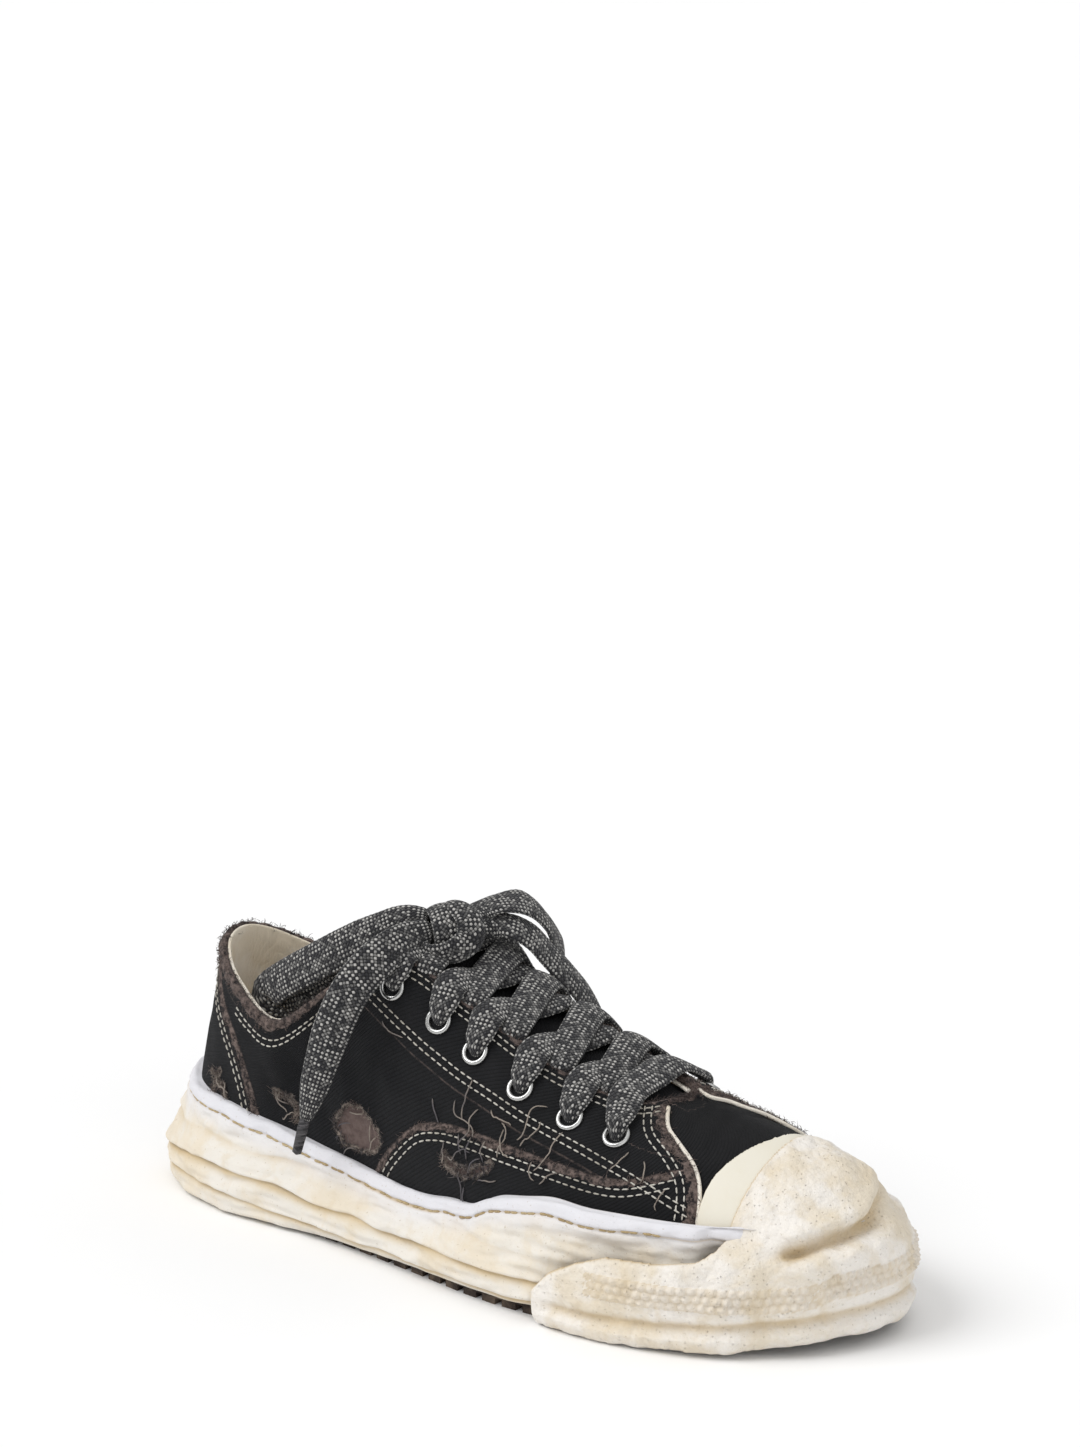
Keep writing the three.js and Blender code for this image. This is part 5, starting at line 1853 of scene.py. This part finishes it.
# %% Piping along the front of both facings
piping_paths = []
for side, reach in ((1, 1.0), (-1, 0.5)):
    line, normals = SEAMS["front", side]
    ways = unit(np.gradient(line, axis=0))
    shifted = line + np.cross(normals, ways) * reach * OUTWARDS["front"] * side + normals
    places, _ = nearest_on(canvas_tree, shifted, 0.35)
    piping_paths.append(softened(evenly(places, 90), 25))
tubes("cream_piping", piping_paths, 0.75, LINING, "canvas", 8)

# %% [markdown]
# ## Tread and insole
# The dark tread is a plate with a sharp edge and the insole a smooth pad, both almost hidden.
# Their solids already have the true shape, so they keep it and only take a finish.

# %% Finishes for the solids that stay
for node, material in (("outsole", TREAD_RUBBER), ("insole", INSOLE_CLOTH)):
    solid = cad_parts[node]
    solid.data.materials.clear()
    solid.data.materials.append(material)
print("solids kept: outsole and insole")

# %% [markdown]
# ## Floor and light
# A pale floor throws light back up into the folds. Three broad suns and a white sky leave only
# soft shadows, so that the worn edges and the clay's creases all read. A single lamp would be
# more dramatic, but it would hide half of them.

# %% Floor
def floor_material():
    material, tree, surface = new_material("pale floor", 0.9)
    cloud = noise(tree, coordinates(tree), 3.0)
    tint(tree, surface, mix(tree, cloud, paint(246, 246, 246), paint(250, 250, 250)))
    return material


bpy.ops.object.select_all(action="DESELECT")
bpy.ops.mesh.primitive_plane_add(size=40, location=(0, 0, 0))
floor = bpy.context.object
floor.name = "floor"
floor.data.materials.append(floor_material())


# %% Light
def soft_sun(name, place, strength, spread):
    """A broad, even light from the direction of place."""
    bpy.ops.object.light_add(type="SUN", location=place)
    light = bpy.context.object
    light.name = name
    light.data.energy = strength
    light.data.angle = math.radians(spread)
    light.rotation_euler = Vector(place).to_track_quat("Z", "Y").to_euler()


soft_sun("key", (-0.9, -1.0, 1.5), 1.6, 38)
soft_sun("side", (1.6, -0.9, 0.7), 0.55, 60)
soft_sun("top", (0.3, 0.4, 2.0), 0.5, 80)
world = bpy.data.worlds.new("studio")
world.use_nodes = True
world.node_tree.nodes["Background"].inputs["Color"].default_value = (1.0, 1.0, 1.0, 1.0)
world.node_tree.nodes["Background"].inputs["Strength"].default_value = 0.5
bpy.context.scene.world = world
bpy.context.scene.view_settings.view_transform = "Standard"
